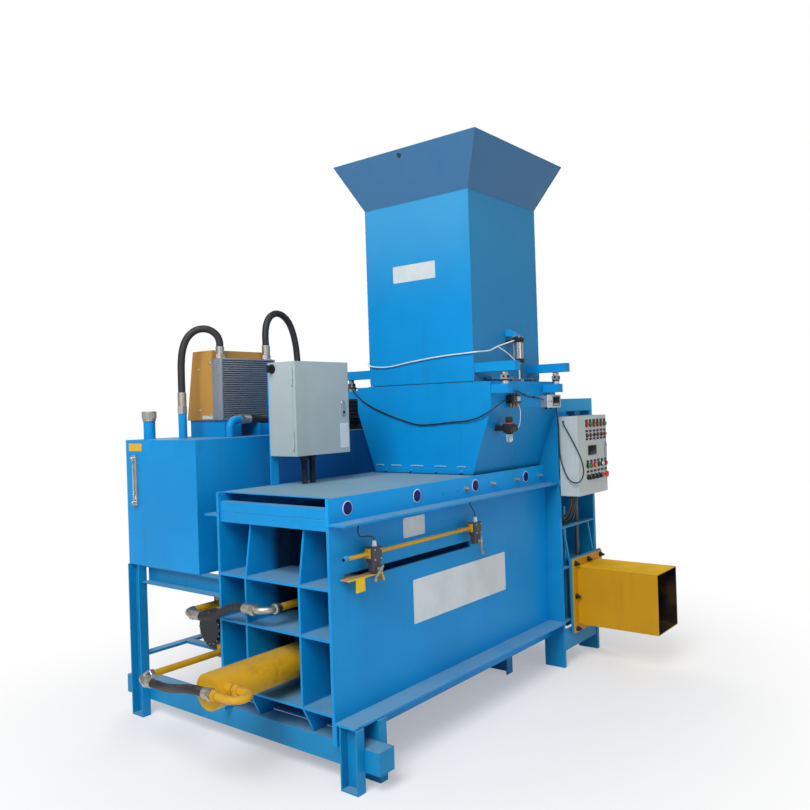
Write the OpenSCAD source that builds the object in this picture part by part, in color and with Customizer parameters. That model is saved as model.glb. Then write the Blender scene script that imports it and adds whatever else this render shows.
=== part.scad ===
// Horizontal baler and bagger with weigh hopper, press, bagging chute and hydraulic power pack.
// Millimetres, +Z up. X runs from the cylinder end to the chute end, Y from the chute side to the tank.

/* [Press frame] */
// Width across the two side plates
frame_w = 760; // [740:5:800]
// Length of the side plates
press_len = 1960; // [1940:5:2000]
// Thickness of the side plates
plate_t = 16; // [12:1:20]
// Height of the side plates' top edge
frame_top = 1260; // [1240:5:1300]
// Height of the base rails' underside
rail_low = 186; // [176:2:196]
// Height of the base rails
rail_h = 100; // [80:5:120]
// Reach of the base rails outside the side plates
rail_out = 116; // [100:2:130]
// Height of the top flange's upper face
flange_z = 1150; // [1130:5:1170]
// Reach of the top flange outside the side plates
flange_out = 94; // [80:2:110]
// Thickness of flanges, shelves and ribs
web_t = 12; // [8:1:14]
// Depth of the shelf grid at the cylinder end
grid_depth = 300; // [280:5:320]
// Mid height of the lowest end shelf
shelf_low = 312; // [306:2:330]
// Mid height of the middle end shelf
shelf_mid = 636; // [620:2:650]
// Mid height of the highest end shelf
shelf_high = 859; // [850:1:866]
// Distance of the end ribs from the frame's middle
rib_off = 182; // [150:2:200]
// Height of the end beam
beam_h = 100; // [80:5:120]
// Drop of the end beam below the top edge
beam_drop = 45; // [30:5:60]

/* [Chamber and ram] */
// Height of the chamber floor's upper face
floor_z = 250; // [240:2:256]
// Inside height of the bale chamber
chamber_h = 354; // [340:2:360]
// Ram face at rest, from the cylinder end
ram_face = 1190; // [1170:2:1200]
// Length of the hollow ram
ram_len = 760; // [700:10:780]
// Travel of the ram
ram_stroke = 940; // [800:10:940]
// Running gap beside the ram
side_gap = 4; // [2:0.5:6]
// Running gap under sliding pieces
slide_gap = 0.3; // [0.2:0.05:0.5]
// Start of the trip slot in the front side plate
slot_x = 90; // [80:2:96]
// Length of the trip slot
slot_len = 1010; // [1000:5:1030]
// Lower edge of the trip slot
slot_z = 880; // [876:1:884]
// Height of the trip slot
slot_h = 35; // [32:1:40]

/* [Main cylinder] */
// Height of the cylinder's axis
cyl_z = 460; // [450:2:470]
// Barrel radius
barrel_r = 80; // [76:1:84]
// Barrel bore radius
bore_r = 62.5; // [56:0.5:66]
// Rod radius
rod_r = 45; // [36:1:50]
// How far the barrel stands out of the end grid
barrel_out = 375; // [350:5:400]
// Front end of the barrel
barrel_end = 830; // [800:5:850]
// Radial running clearance of rods, pistons and pins
fit = 0.05; // [0.02:0.01:0.1]

/* [End block] */
// Thickness of the portal plate
portal_t = 20; // [16:1:24]
// Thickness of the end wall
wall_t = 28; // [20:1:30]
// Inside length of the end block
block_len = 452; // [440:1:460]
// Height of the end block
block_top = 1670; // [1650:5:1700]
// Reach of the block plates outside the side plates
block_out = 100; // [96:1:106]
// Inside width of the chute
chute_w = 304; // [300:1:306]
// Inside height of the chute
chute_h = 350; // [344:2:354]
// Sheet thickness of the chute
chute_t = 6; // [4:0.5:8]
// How far the chute reaches from the front side plate
chute_reach = 640; // [580:10:700]
// Width of the chute flange past the tube, each side
flange_lip = 50; // [40:2:54]
// Thickness of the gate
gate_t = 24; // [18:1:26]
// Travel of the gate
gate_travel = 365; // [355:5:370]
// Travel of the ejector
eject_travel = 770; // [700:10:770]
// Thickness of the ejector plate
eject_t = 24; // [18:1:30]
// Length of the ejector cylinder behind its plate
eject_len = 880; // [860:10:920]

/* [Hoppers] */
// Middle of the hoppers across the machine
hopper_y = 390; // [380:2:396]
// Near face of the feed hopper
hopper_x = 1203; // [1200:1:1206]
// Half width of the feed hopper's foot
foot_half = 354; // [340:2:356]
// Half width of the feed hopper's rim
rim_half = 485; // [470:5:500]
// Lower edge of the rim
rim_low = 1627; // [1610:1:1640]
// Upper edge of the rim
rim_top = 1778; // [1770:1:1782]
// Sheet thickness of the hoppers
sheet = 5; // [4:0.5:6]
// Half width of the weigh hopper
weigh_half = 378; // [370:2:384]
// Top of the straight part of the weigh hopper
weigh_top = 2855; // [2800:5:2900]
// Rise of the flared top
flare_h = 276; // [250:2:300]
// How far the flare spreads along X
flare_x = 123; // [100:1:140]
// How far the flare spreads along Y
flare_y = 137; // [110:1:150]
// Square size of the bracket stubs
stub = 52; // [44:1:56]
// Swing of the hopper flaps
flap_swing = 80; // [60:1:80]
// Length of the flap lever
lever = 60; // [54:1:62]

/* [Power pack] */
// Length of the oil tank
tank_len = 1440; // [1400:10:1460]
// Width of the oil tank
tank_w = 620; // [560:5:640]
// Underside of the oil tank
tank_low = 832; // [820:2:840]
// Height of the oil tank
tank_h = 685; // [660:5:700]
// Gap between the press and the oil tank
tank_gap = 165; // [150:5:180]
// Radius of the pump motor
motor_r = 117; // [110:1:120]
// Length of the cooler core
core_len = 395; // [360:5:400]
// Height of the cooler core
core_h = 340; // [320:5:350]
// Depth of the cooler core
core_d = 79; // [70:1:90]

/* [Electric boxes] */
// Width of the control box
box_w = 400; // [380:5:420]
// Height of the control box
box_h = 490; // [460:5:500]
// Depth of the control box with its door
box_d = 200; // [180:5:210]
// Thickness of the box doors
door_t = 20; // [16:1:24]
// Width of the operator panel
panel_w = 410; // [400:2:420]
// Depth of the operator panel without its door
panel_d = 105; // [96:1:120]

/* [Hidden] */
$fn = 48;

// Paint and metal colours
blue = "deepskyblue";
yellow = "goldenrod";
steel = "silver";
black = "dimgray";
grey = "gainsboro";

// Small gap left between sheet panels that are welded at a corner, and under seated pieces
weld = 0.2;
seat_gap = 0.3;
eps = 1;

// Levels and faces that several pieces share
mid_w = frame_w / 2;
in_lo = plate_t;
in_hi = frame_w - plate_t;
roof_z = floor_z + chamber_h;
floor_t = 12;
beam_top = frame_top - beam_drop;
portal_x = press_len + portal_t;
leg_w = 100;
leg_d = 50;
rail_t = 10;
tube = 100;
wall_y0 = -block_out;
wall_y1 = frame_w + block_out;

// Bale chamber and chute
wall_x = portal_x + block_len;
chute_x1 = wall_x;
chute_x0 = wall_x - chute_w;
chute_z0 = floor_z - 4;
frame_plate = 12;
lip_margin = 12;
chute_face = -block_out - frame_plate;
chute_mid = wall_x - chute_w / 2;
eject_z = floor_z + chamber_h / 2;
eject_plate_y = wall_y1 - 24;
gate_y = -62;
gate_low = floor_z - 8;
gate_h = 370;

// Ram pieces
ram_x0 = ram_face - ram_len;
ram_top = roof_z - side_gap;
ram_wall = 12;
ram_front = 30;
boss_x = ram_face - ram_front - 30;
arm_bar = 40;
arm_notch = 28;

// Hopper levels
hop_x1 = press_len - 3;
weigh_low = rim_top + 5;
weigh_x0 = hopper_x + 5;
weigh_x1 = hop_x1 - 5;
weigh_mid = (weigh_x0 + weigh_x1) / 2;
weigh_y0 = hopper_y - weigh_half;
weigh_y1 = hopper_y + weigh_half;
stub_low = weigh_low + 47;
stub_out = 262;
cell_low = stub_low - 70;
cell_off = 182;
hinge_out = 18;
hinge_z = weigh_low + 12;
pin_r = 8;
flap_t = 6;
rod_out = hinge_out + lever * (1 + cos(flap_swing / 2)) / 2;
air_rod_r = 8;
air_travel = 2 * lever * sin(flap_swing / 2);

// Power pack places
tank_x = 10;
tank_y0 = frame_w + tank_gap;
tank_y1 = tank_y0 + tank_w;
tank_top = tank_low + tank_h;
line_y = tank_y0 + 60;
back_y = tank_y0 + 91;
back_z = tank_top + 95;
back_x = [tank_x + 298, tank_x + 880];
neck_at = [tank_x + 100, tank_y1 - 80];
stub_at = [tank_x + 172, tank_y0 + 333];
neck_h = 100;
stub_h = 136;
elbow_r = 50;
port_y = tank_y0 + 205;
port_x0 = tank_x + 340;
port_x1 = tank_x + 680;
return_x = tank_x + 940;
return_h = 70;
low_line_z = 390;
top_line_z = 648;
pipe_r = 17;
hose_r = 20;
sleeve_r = hose_r + 3;
nut_r = 1.2 * sleeve_r;
stub_sleeve = 117;
port_sleeve = 68;
return_sleeve = 73;
bend_r = 60;
core_x = tank_x + 310;
core_y = tank_y0 + 161;
core_z = tank_top + 95;
fan_x = core_x + core_len / 2;
fan_z = core_z + core_h / 2;
fan_r = 150;
shroud_d = 235;
motor_y = tank_y0 + 195;
motor_z = 485;
rail_deck = 345;
rail_x = [300, 500];

// Cylinder port and U bend
port_x = 50 - barrel_out;
u_r = 48;
u_y = 190;
u_end = 290;
u_z = cyl_z + 20;
u_x = port_x - 2 * u_r;
pipe_z = 730;

// Boxes
box_x = 345;
post_t = 9;
box_y = in_hi - post_t - box_d;
box_z = 1415;
panel_x = press_len - 5;
panel_z = 1070;
panel_h = 490;
panel_back = -block_out - 12;
panel_front = panel_back - panel_d;
head_r = 10;

// Limit switches
rail_y = -45;
rail_z = 993;
switch_y = -74;
switch_w = 64;
switch_x = [205, 1040];
pivot_z = 922;
tilt_left = 50;

// The frame's origin is the middle of the machine's footprint, on the floor
x_low = u_x - nut_r;
x_high = chute_x1 + chute_t + flange_lip + lip_margin;
y_low = -chute_reach;
y_high = eject_plate_y + 24 + eject_len;
mid_x = (x_low + x_high) / 2;
mid_y = (y_low + y_high) / 2;

// Hose between two ends: each step gives its shares of the way along X, Y and Z
function hung(a, b, steps) = [for (s = steps) [for (k = [0 : 2]) a[k] + (b[k] - a[k]) * s[k]]];
// Route given from a corner of the piece that carries it
function from_corner(corner, points) = [for (p = points) corner + p];

// Cord routes, chosen by hand
ram_hose_route = hung(
    [u_x, u_end + 55 + seat_gap, u_z],
    [-200 - 2 * bend_r, line_y - bend_r - 55 - seat_gap, low_line_z], [
    [0, 0, 0], [0, 0.1, 0], [0.05, 0.24, 0.12], [0.2, 0.38, 0.32], [0.42, 0.52, 0.54],
    [0.66, 0.65, 0.75], [0.88, 0.78, 0.93], [1, 0.9, 1], [1, 1, 1]
]);
rod_hose_route = hung(
    [15 - bend_r, mid_w + bend_r + 80 + seat_gap, pipe_z],
    [15 - bend_r, line_y - bend_r - 75 - seat_gap, top_line_z], [
    [0, 0, 0], [0, 0.12, 0], [0, 0.28, 0.12], [0, 0.48, 0.46], [0, 0.68, 0.84], [0, 0.87, 1], [0, 1, 1]
]);
return_route = hung(
    [back_x[0] + 142 + seat_gap, back_y, back_z],
    [back_x[1] - 142 - seat_gap, back_y, back_z - 8], [
    [0, 0, 0], [0.14, 0, 0], [0.32, 0, 0.7], [0.5, 0, 1], [0.68, 0, 0.7], [0.86, 0, 0], [1, 0, 0]
]);
tank_corner = [tank_x, tank_y0, tank_top];
cooler_left_route = from_corner(tank_corner, [
    [172, 333, 253.3], [172, 333, 343], [174, 332, 423], [182, 326, 493], [202, 311, 553],
    [236, 284, 593], [276, 253, 603], [310, 227, 588], [332, 210, 558], [340, 205, 526], [340, 205, 503.3]
]);
cooler_right_route = from_corner(tank_corner, [
    [680, 205, 523.3], [680, 205, 593], [692, 205, 653], [724, 205, 699], [774, 205, 719],
    [828, 205, 707], [874, 205, 667], [906, 205, 603], [926, 205, 523], [936, 205, 423],
    [940, 205, 323], [940, 205, 223], [940, 205, 143.3]
]);
sensor_route = from_corner([hopper_x, hopper_y, rim_top], [
    [18.7, 560, 22], [5, 560, 22], [-6, 540, 8], [-9, 500, -26], [-9, 440, -78],
    [-9, 370, -118], [-9, 303, -146], [-9, 210, -180], [-9, 112, -210], [-9, 40, -228],
    [-9, -20, -235], [-9, -100, -232], [-9, -180, -226], [-9, -250, -221], [-13, -330, -216],
    [-15, -400, -202], [-14, -460, -178], [-8, -494, -158], [14, -512, -140], [52, -515, -124],
    [107, -508, -110], [142, -505, -106], [158.7, -505, -106]
]);
air_route = from_corner([weigh_x0, hopper_y, weigh_low], [
    [347.7, 438, 232], [330, 438, 232], [192, 412, 204], [102, 398, 179], [32, 392, 157], [-4, 388, 137],
    [-10, 355, 121], [-9, 300, 113], [-9, 226, 111], [-9, 160, 117], [-9, 87, 127],
    [-9, -20, 138], [-9, -132, 148], [-9, -240, 154], [-9, -330, 157], [-9, -382, 159],
    [14, -400, 162], [82, -400, 167], [142, -404, 175], [212, -414, 200], [330, -438, 232], [347.7, -438, 232]
]);
panel_route = from_corner([panel_x, panel_back, panel_z + panel_h], [
    [-39, -8, 61.7], [-39, -8, 44], [-35, -10, 10], [-29, -12, -40], [-25, -12, -100], [-25, -12, -170],
    [-25, -16, -240], [-25, -30, -300], [-25, -54, -360], [-25, -84, -395], [-25, -120, -404],
    [-25, -150, -388], [-25, -166, -354], [-25, -168, -310], [-25, -152, -250], [-25, -124, -190],
    [-25, -92, -130], [-25, -64, -80], [-24, -46, -50], [-17, -36, -32], [-0.3, -36, -32]
]);
switch_cable_left = [
    [0, 0, 0], [-4, 0, 22], [-28, 4, 32], [-52, 6, 38], [-58, 8, 58], [-54, 14, 78], [-54, 14, 92.5]
];
switch_cable_right = [[0, 0, 0], [-2, 2, 24], [-12, 6, 46], [-24, 10, 66], [-26, 14, 80], [-26, 14, 92.5]];

// Box between two corners, given as ranges along each axis
module block(x, y, z)
    translate([x[0], y[0], z[0]]) cube([x[1] - x[0], y[1] - y[0], z[1] - z[0]]);

// Round bars along each axis
module bar_x(x, y, z, r)
    translate([x[0], y, z]) rotate([0, 90, 0]) cylinder(h = x[1] - x[0], r = r);
module bar_y(x, y, z, r)
    translate([x, y[0], z]) rotate([-90, 0, 0]) cylinder(h = y[1] - y[0], r = r);
module bar_z(x, y, z, r)
    translate([x, y, z[0]]) cylinder(h = z[1] - z[0], r = r);

// Outline in the YZ plane drawn out along X, and outline in the XZ plane drawn out along Y
module along_x(x, outline)
    translate([x[0], 0, 0]) rotate([90, 0, 90]) linear_extrude(x[1] - x[0]) polygon(outline);
module along_y(y, outline)
    translate([0, y[1], 0]) rotate([90, 0, 0]) linear_extrude(y[1] - y[0]) polygon(outline);

// Quarter bend of a pipe about a centre, turned into place
module bend(centre, turn, big_r, r, sweep = 90)
    translate(centre) rotate(turn) rotate_extrude(angle = sweep) translate([big_r, 0]) circle(r);

// Plate with eight corners, four below and four above
module plate8(p)
    polyhedron(points = p, faces = [
        [3, 2, 1, 0], [4, 5, 6, 7], [1, 5, 4, 0], [2, 6, 5, 1], [3, 7, 6, 2], [0, 4, 7, 3]
    ]);

// Tube swept along a route
function unit(v) = v / norm(v);
function way(p, i) = unit(p[min(i + 1, len(p) - 1)] - p[max(i - 1, 0)]);
function side_of(t) = unit(cross(t, abs(t[2]) > 0.9 ? [0, 1, 0] : [0, 0, 1]));
function carried(p, i) = i == 0 ? side_of(way(p, 0))
    : let(s = carried(p, i - 1), t = way(p, i)) unit(s - t * (s * t));
module cord(p, r, sides = 8) {
    rings = [for (i = [0 : len(p) - 1])
        let(t = way(p, i), s = carried(p, i), u = cross(t, s))
        for (k = [0 : sides - 1]) p[i] + r * (s * cos(360 * k / sides) + u * sin(360 * k / sides))];
    last = (len(p) - 1) * sides;
    walls = [for (i = [0 : len(p) - 2], k = [0 : sides - 1])
        let(n = (k + 1) % sides)
        [i * sides + k, (i + 1) * sides + k, (i + 1) * sides + n, i * sides + n]];
    polyhedron(points = rings, faces = concat(
        walls,
        [[for (k = [0 : sides - 1]) k]],
        [[for (k = [sides - 1 : -1 : 0]) last + k]]
    ));
}

// Everything is placed about the middle of the footprint
module placed()
    translate([-mid_x, -mid_y, 0]) children();

// Mirror across the hoppers' middle, for the rear copy of a front piece
module rear_copy()
    translate([0, 2 * hopper_y, 0]) mirror([0, 1, 0]) children();

// Press frame

module side_plates() color(blue) placed() {
    difference() {
        block([0, press_len], [0, plate_t], [rail_low, frame_top]);
        block([slot_x, slot_x + slot_len], [-eps, plate_t + eps], [slot_z, slot_z + slot_h]);
    }
    block([0, press_len], [in_hi, frame_w], [rail_low, frame_top]);
}

module chamber_plates() color(blue) placed() {
    throat_x = hopper_x - 23;
    block([grid_depth + 25, wall_x], [in_lo, in_hi], [floor_z - floor_t, floor_z]);
    block([portal_x, wall_x], [in_lo, in_hi], [roof_z, roof_z + floor_t]);
    block([throat_x, throat_x + 12], [in_lo, in_hi], [roof_z + 2, frame_top - 12]);
}

module end_shelves() color(blue) placed() {
    crease = 3;
    for (z = [shelf_low, shelf_mid, shelf_high])
        difference() {
            block([0, grid_depth], [in_lo, in_hi], [z - web_t / 2, z + web_t / 2]);
            if (z > shelf_low)
                block([slot_x, grid_depth + eps], [in_lo - eps, in_lo + arm_notch], [z - web_t, z + web_t]);
        }
    difference() {
        block([10, leg_d + 10], [in_lo, in_hi], [beam_top - beam_h, beam_top]);
        translate([10, 0, beam_top - beam_h / 2]) rotate([0, 45, 0])
            cube([crease, 4 * frame_w, crease], center = true);
    }
}

module end_ribs() color(blue) placed() {
    half = web_t / 2;
    low = [shelf_low + half, shelf_mid - half];
    mid = [shelf_mid + half, shelf_high - half];
    high = [shelf_high + half, beam_top - beam_h];
    under = [rail_low + 14, shelf_low - half];
    lean = 40;
    for (y = [mid_w - rib_off, mid_w + rib_off]) {
        block([0, grid_depth], [y - half, y + half], low);
        block([0, grid_depth], [y - half, y + half], mid);
        along_y([y - half, y + half], [
            [4, high[0]], [grid_depth, high[0]], [grid_depth, high[1]], [4 + lean, high[1]]
        ]);
        along_y([y - half, y + half], [
            [lean, under[1]], [grid_depth, under[1]], [grid_depth, under[0]], [3 * lean, under[0]]
        ]);
    }
}

module reaction_plates() color(blue) placed() {
    window = 150;
    plate_x = [grid_depth, grid_depth + 25];
    notch_y = in_lo + arm_notch;
    low = [rail_low + 14, ram_top - arm_bar - 4];
    window_z = [shelf_mid + 36, shelf_high - 36];
    difference() {
        block(plate_x, [in_lo, in_hi], low);
        bar_x([plate_x[0] - eps, plate_x[1] + eps], mid_w, cyl_z, barrel_r + slide_gap);
    }
    // Band over the barrel and bars round the pipe's window
    block(plate_x, [notch_y, in_hi], [low[1] + weld, window_z[0]]);
    block(plate_x, [notch_y, mid_w - window], [window_z[0] + weld, window_z[1] - weld]);
    block(plate_x, [mid_w + window, in_hi], [window_z[0] + weld, window_z[1] - weld]);
    block(plate_x, [notch_y, in_hi], [window_z[1], shelf_high + web_t / 2]);
    difference() {
        block([portal_x, wall_x], [eject_plate_y, wall_y1], [rail_low, roof_z + 76]);
        bar_y(chute_mid, [eject_plate_y - eps, wall_y1 + eps], eject_z, 40);
    }
}

module top_cover() color(blue) placed() {
    cover_t = 6;
    block([40, hopper_x - 23], [in_lo, in_hi], [frame_top - cover_t, frame_top]);
}

// Channel rail: web against the side plate, flanges pointing outward
module base_rail() {
    top = rail_low + rail_h;
    along_x([0, press_len], [
        [0, rail_low], [0, top], [-rail_out, top],
        [-rail_out, top - rail_t], [-rail_t, top - rail_t], [-rail_t, rail_low]
    ]);
}

module side_rails() color(blue) placed() {
    for (flip = [0, 1])
        translate([0, flip * frame_w, 0]) mirror([0, flip, 0]) {
            base_rail();
            block([0, press_len], [-flange_out, 0], [flange_z - 10, flange_z]);
        }
}

// Upright channel, open away from the cross beam, on a base plate
module leg(x, y, top, open) {
    wall = 7;
    base = 8;
    web_x = open < 0 ? leg_d - wall : 0;
    translate([x, y, 0]) {
        cube([leg_d, leg_w, base]);
        translate([web_x, 0, 0]) cube([wall, leg_w, top]);
        for (s = [0, leg_w - wall]) translate([0, s, 0]) cube([leg_d, wall, top]);
    }
}

module legs() color(blue) placed() {
    beam_x = leg_d;
    tank_leg_x = tank_len - 150;
    foot_x = press_len - 300;
    front_y = -leg_w - 25;
    front_top = rail_low + rail_h - rail_t;
    leg(0, front_y, front_top, -1);
    leg(beam_x + tube, front_y, front_top, 1);
    leg(0, tank_y1 - leg_w, tank_low, -1);
    leg(tank_leg_x, tank_y1 - leg_w, tank_low, -1);
    for (y = [136, frame_w - 306]) {
        block([foot_x + 58, foot_x + 65], [y, y + 170], [0, floor_z - floor_t]);
        for (side = [y, y + 163])
            block([foot_x, foot_x + 58 - weld], [side, side + 7], [0, floor_z - floor_t]);
    }
}

module cross_beams() color(blue) placed() {
    wall = 6;
    stub_y = 200;
    tail_y = tank_y1 + 112;
    tank_leg_x = tank_len - 150;
    post_y = tank_y1 - leg_w;
    difference() {
        block([leg_d, leg_d + tube], [-stub_y, tail_y], [rail_low - tube, rail_low]);
        block([leg_d + wall, leg_d + tube - wall], [-stub_y - eps, tail_y + eps],
            [rail_low - tube + wall, rail_low - wall]);
    }
    for (end = [-stub_y - wall - weld, tail_y + weld])
        block([leg_d, leg_d + tube], [end, end + wall], [rail_low - tube, rail_low]);
    for (x = [20, tank_leg_x])
        difference() {
            block([x, x + leg_d], [frame_w, post_y], [tank_low - leg_w, tank_low]);
            block([x - eps, x + leg_d - 7], [frame_w - eps, post_y + eps],
                [tank_low - leg_w + 8, tank_low - 8]);
        }
    block([leg_d, tank_leg_x], [post_y, post_y + leg_d], [rail_deck - 15, rail_deck]);
    for (x = rail_x)
        block([x, x + leg_d], [frame_w, post_y], [rail_deck - 15, rail_deck]);
}

module block_plates() color(blue) placed() {
    foot = 136;
    for (x = [[press_len, portal_x], [wall_x, wall_x + wall_t]])
        difference() {
            block(x, [wall_y0, wall_y1], [0, block_top]);
            block([x[0] - eps, x[1] + eps], [wall_y0 + foot, wall_y1 - foot], [-eps, rail_low]);
            if (x[0] < wall_x)
                block([x[0] - eps, x[1] + eps], [in_lo, in_hi], [floor_z - floor_t, roof_z]);
        }
}

module block_webs() color(blue) placed() {
    face = [wall_y0 + weld, wall_y0 + 30];
    shelf_a = shelf_high;
    inner = [portal_x, wall_x];
    z = [chute_z0 - 56, chute_z0 + chute_h + 64];
    mouth = [chute_z0, chute_z0 + chute_h];
    frame_x0 = chute_x0 - chute_t - flange_lip - lip_margin;
    plate_y = [chute_face, wall_y0];
    block(inner, face, [shelf_a, shelf_a + web_t]);
    for (low = [roof_z, floor_z + 24])
        block([portal_x, frame_x0 - weld], face, [low, low + web_t]);
    // Chute's mount frame: four bars
    for (x = [[frame_x0, chute_x0 - weld], [chute_x1 + weld, x_high]]) block(x, plate_y, z);
    for (bar = [[z[0], mouth[0]], [mouth[1], z[1]]]) block([chute_x0, chute_x1], plate_y, bar);
    // Sloping struts under the shelf
    for (x = [frame_x0 - 60, wall_x - 90])
        along_y([face[0], face[0] + web_t], [
            [x, shelf_a - weld], [x + web_t, shelf_a - weld], [x + 80, z[1] - 20], [x + 80 - web_t, z[1] - 20]
        ]);
    block(inner, [wall_y0 + 5, wall_y0 + 17], [100, floor_z - 22]);
    for (y = [[0, plate_t], [in_hi, frame_w]])
        block([portal_x, chute_x0], y, [floor_z - floor_t, roof_z]);
    // Gate's guide and sill
    block([chute_x0 - 54, chute_x0 - 32], [gate_y - 4, gate_y + gate_t + 4],
        [gate_low, gate_low + gate_h + gate_travel + 10]);
    block([chute_x0 - 54, wall_x], [gate_y - 4, gate_y + gate_t + 4], [gate_low - 12, gate_low - slide_gap]);
    for (y = [[wall_y0, wall_y0 + 80], [wall_y1 - 80, wall_y1]])
        block(inner, y, [block_top - 80, block_top]);
    for (low = [panel_z + 60, panel_z + panel_h - 100])
        block([press_len, wall_x + wall_t], [panel_back, wall_y0], [low, low + 40]);
}

module chute() color(yellow) placed() {
    x = [chute_x0, chute_x1];
    z = [chute_z0, chute_z0 + chute_h];
    out_x = [x[0] - chute_t, x[1] + chute_t];
    tube_y = [-chute_reach, chute_face];
    lip_y = [chute_face - 12, chute_face];
    for (sheet_z = [[z[0] - chute_t, z[0]], [z[1], z[1] + chute_t]]) block(out_x, tube_y, sheet_z);
    for (sheet_x = [[out_x[0], x[0]], [x[1], out_x[1]]]) block(sheet_x, tube_y, [z[0] + weld, z[1] - weld]);
    // Flange bars round the tube
    low_bar = [z[0] - chute_t - flange_lip + 4, z[0] - chute_t - weld];
    top_bar = [z[1] + chute_t + weld, z[1] + chute_t + flange_lip];
    for (bar_z = [low_bar, top_bar])
        block([out_x[0] - flange_lip, out_x[1] + flange_lip], lip_y, bar_z);
    for (bar_x = [[out_x[0] - flange_lip, out_x[0] - weld], [out_x[1] + weld, out_x[1] + flange_lip]])
        block(bar_x, lip_y, [z[0] - chute_t, z[1] + chute_t]);
}

// Main cylinder and ram

module main_cylinder() color(yellow) placed() {
    gland = 30;
    boss_z = cyl_z + barrel_r + 38;
    front_port = barrel_end - 40;
    difference() {
        union() {
            bar_x([-barrel_out, barrel_end], mid_w, cyl_z, barrel_r);
            bar_x([grid_depth - 25, grid_depth], mid_w, cyl_z, barrel_r + 35);
            bar_z(front_port, mid_w, [cyl_z, boss_z], pipe_r + 4);
            bar_y(port_x, [u_y, mid_w - bore_r - 4], u_z, pipe_r);
            bar_y(port_x, [mid_w - barrel_r - 30, mid_w - bore_r - 4], u_z, pipe_r + 6);
        }
        bar_x([25 - barrel_out, barrel_end - gland], mid_w, cyl_z, bore_r);
        bar_x([0, barrel_end + eps], mid_w, cyl_z, rod_r + fit);
    }
    bend([port_x - u_r, u_y, u_z], [0, 0, 180], u_r, pipe_r, 180);
    bar_y(u_x, [u_y, u_end], u_z, pipe_r);
}

module rod_pipe() color(yellow) placed() {
    r = 18;
    drop_x = grid_depth + 68;
    turn_r = 30;
    low_z = cyl_z + barrel_r + 24;
    port = barrel_end - 40 - pipe_r - 4;
    bar_x([15, drop_x], mid_w, pipe_z, r);
    bend([drop_x, mid_w, pipe_z - turn_r], [90, 0, 0], turn_r, r);
    bar_z(drop_x + turn_r, mid_w, [low_z + turn_r, pipe_z - turn_r], r);
    bend([drop_x + 2 * turn_r, mid_w, low_z + turn_r], [90, 0, 180], turn_r, r, -90);
    bar_x([drop_x + 2 * turn_r, port], mid_w, low_z, r);
}

module ram() color(blue) placed() {
    y = [in_lo + side_gap, in_hi - side_gap];
    low = floor_z + slide_gap;
    block([ram_face - ram_front, ram_face], y, [low, ram_top]);
    block([ram_x0, ram_face - ram_front], y, [ram_top - ram_wall, ram_top]);
    for (wall = [[y[0], y[0] + ram_wall], [y[1] - ram_wall, y[1]]])
        block([ram_x0, ram_face - ram_front], wall, [low, ram_top - ram_wall]);
    bar_x([boss_x, ram_face - ram_front], mid_w, cyl_z, rod_r + 22);
}

module ram_rod() color(steel) placed() {
    piston_x = 75 - barrel_out;
    bar_x([piston_x, boss_x], mid_w, cyl_z, rod_r);
    bar_x([piston_x, piston_x + 60], mid_w, cyl_z, bore_r - fit);
}

module trip_arm() color(yellow) placed() {
    y = [in_lo + side_gap, in_lo + side_gap + ram_wall];
    post = [slot_x + 10, slot_x + 64];
    arm_z = slot_z + 13;
    arm_t = 6;
    edge = -56;
    tab_z = arm_z - 58;
    block([post[0], ram_x0], y, [ram_top - arm_bar, ram_top]);
    block(post, y, [ram_top, arm_z]);
    block(post, [-4, y[1]], [arm_z, arm_z + arm_t]);
    block([post[0] - 40, post[0] + 190], [edge, -4], [arm_z, arm_z + arm_t]);
    block([post[0] + 10, post[0] + 66], [edge, edge + 6], [tab_z, arm_z]);
    along_y([edge, -10], [
        [post[0] + 184, arm_z], [post[0] + 190, arm_z],
        [post[0] + 206, arm_z - 36], [post[0] + 200, arm_z - 36]
    ]);
}

// End block: ejector and gate

module block_cylinders() color(yellow) placed() {
    base = wall_y1;
    gate_axis = gate_y + gate_t / 2;
    gate_barrel = [gate_low + gate_h + gate_travel + 70, block_top - 80];
    difference() {
        union() {
            bar_y(chute_mid, [base, base + eject_len], eject_z, 50);
            bar_y(chute_mid, [base, base + 22], eject_z, 85);
            bar_y(chute_mid, [base + eject_len - 40, base + eject_len], eject_z, 56);
        }
        bar_y(chute_mid, [base + 30, base + eject_len - 30], eject_z, 40);
        bar_y(chute_mid, [base - eps, base + 40], eject_z, 28 + fit);
    }
    difference() {
        union() {
            bar_z(chute_mid, gate_axis, gate_barrel, 30);
            block([chute_mid - 38, chute_mid + 38], [gate_axis - 30, gate_axis + 30],
                [gate_barrel[1] - 24, gate_barrel[1]]);
        }
        bar_z(chute_mid, gate_axis, [gate_barrel[0] + 24, gate_barrel[1] - 30], 25);
        bar_z(chute_mid, gate_axis, [gate_barrel[0] - eps, gate_barrel[0] + 30], 14 + fit);
    }
}

module ejector_plate() color(steel) placed() {
    gap = 4;
    block([chute_x0 + gap + 2, wall_x - gap], [in_hi, in_hi + eject_t], [floor_z + slide_gap, roof_z - gap]);
}

module ejector_rod() color(steel) placed() {
    tail = wall_y1 + eject_len - 35;
    bar_y(chute_mid, [in_hi + eject_t, tail], eject_z, 28);
    bar_y(chute_mid, [tail - 40, tail], eject_z, 40 - fit);
}

module gate() color(steel) placed() {
    axis_y = [gate_y, gate_y + gate_t];
    block([chute_x0 - 32 + slide_gap, wall_x - slide_gap], axis_y, [gate_low, gate_low + gate_h]);
    block([chute_mid - 22, chute_mid + 22], axis_y, [gate_low + gate_h, gate_low + gate_h + 36]);
}

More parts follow.
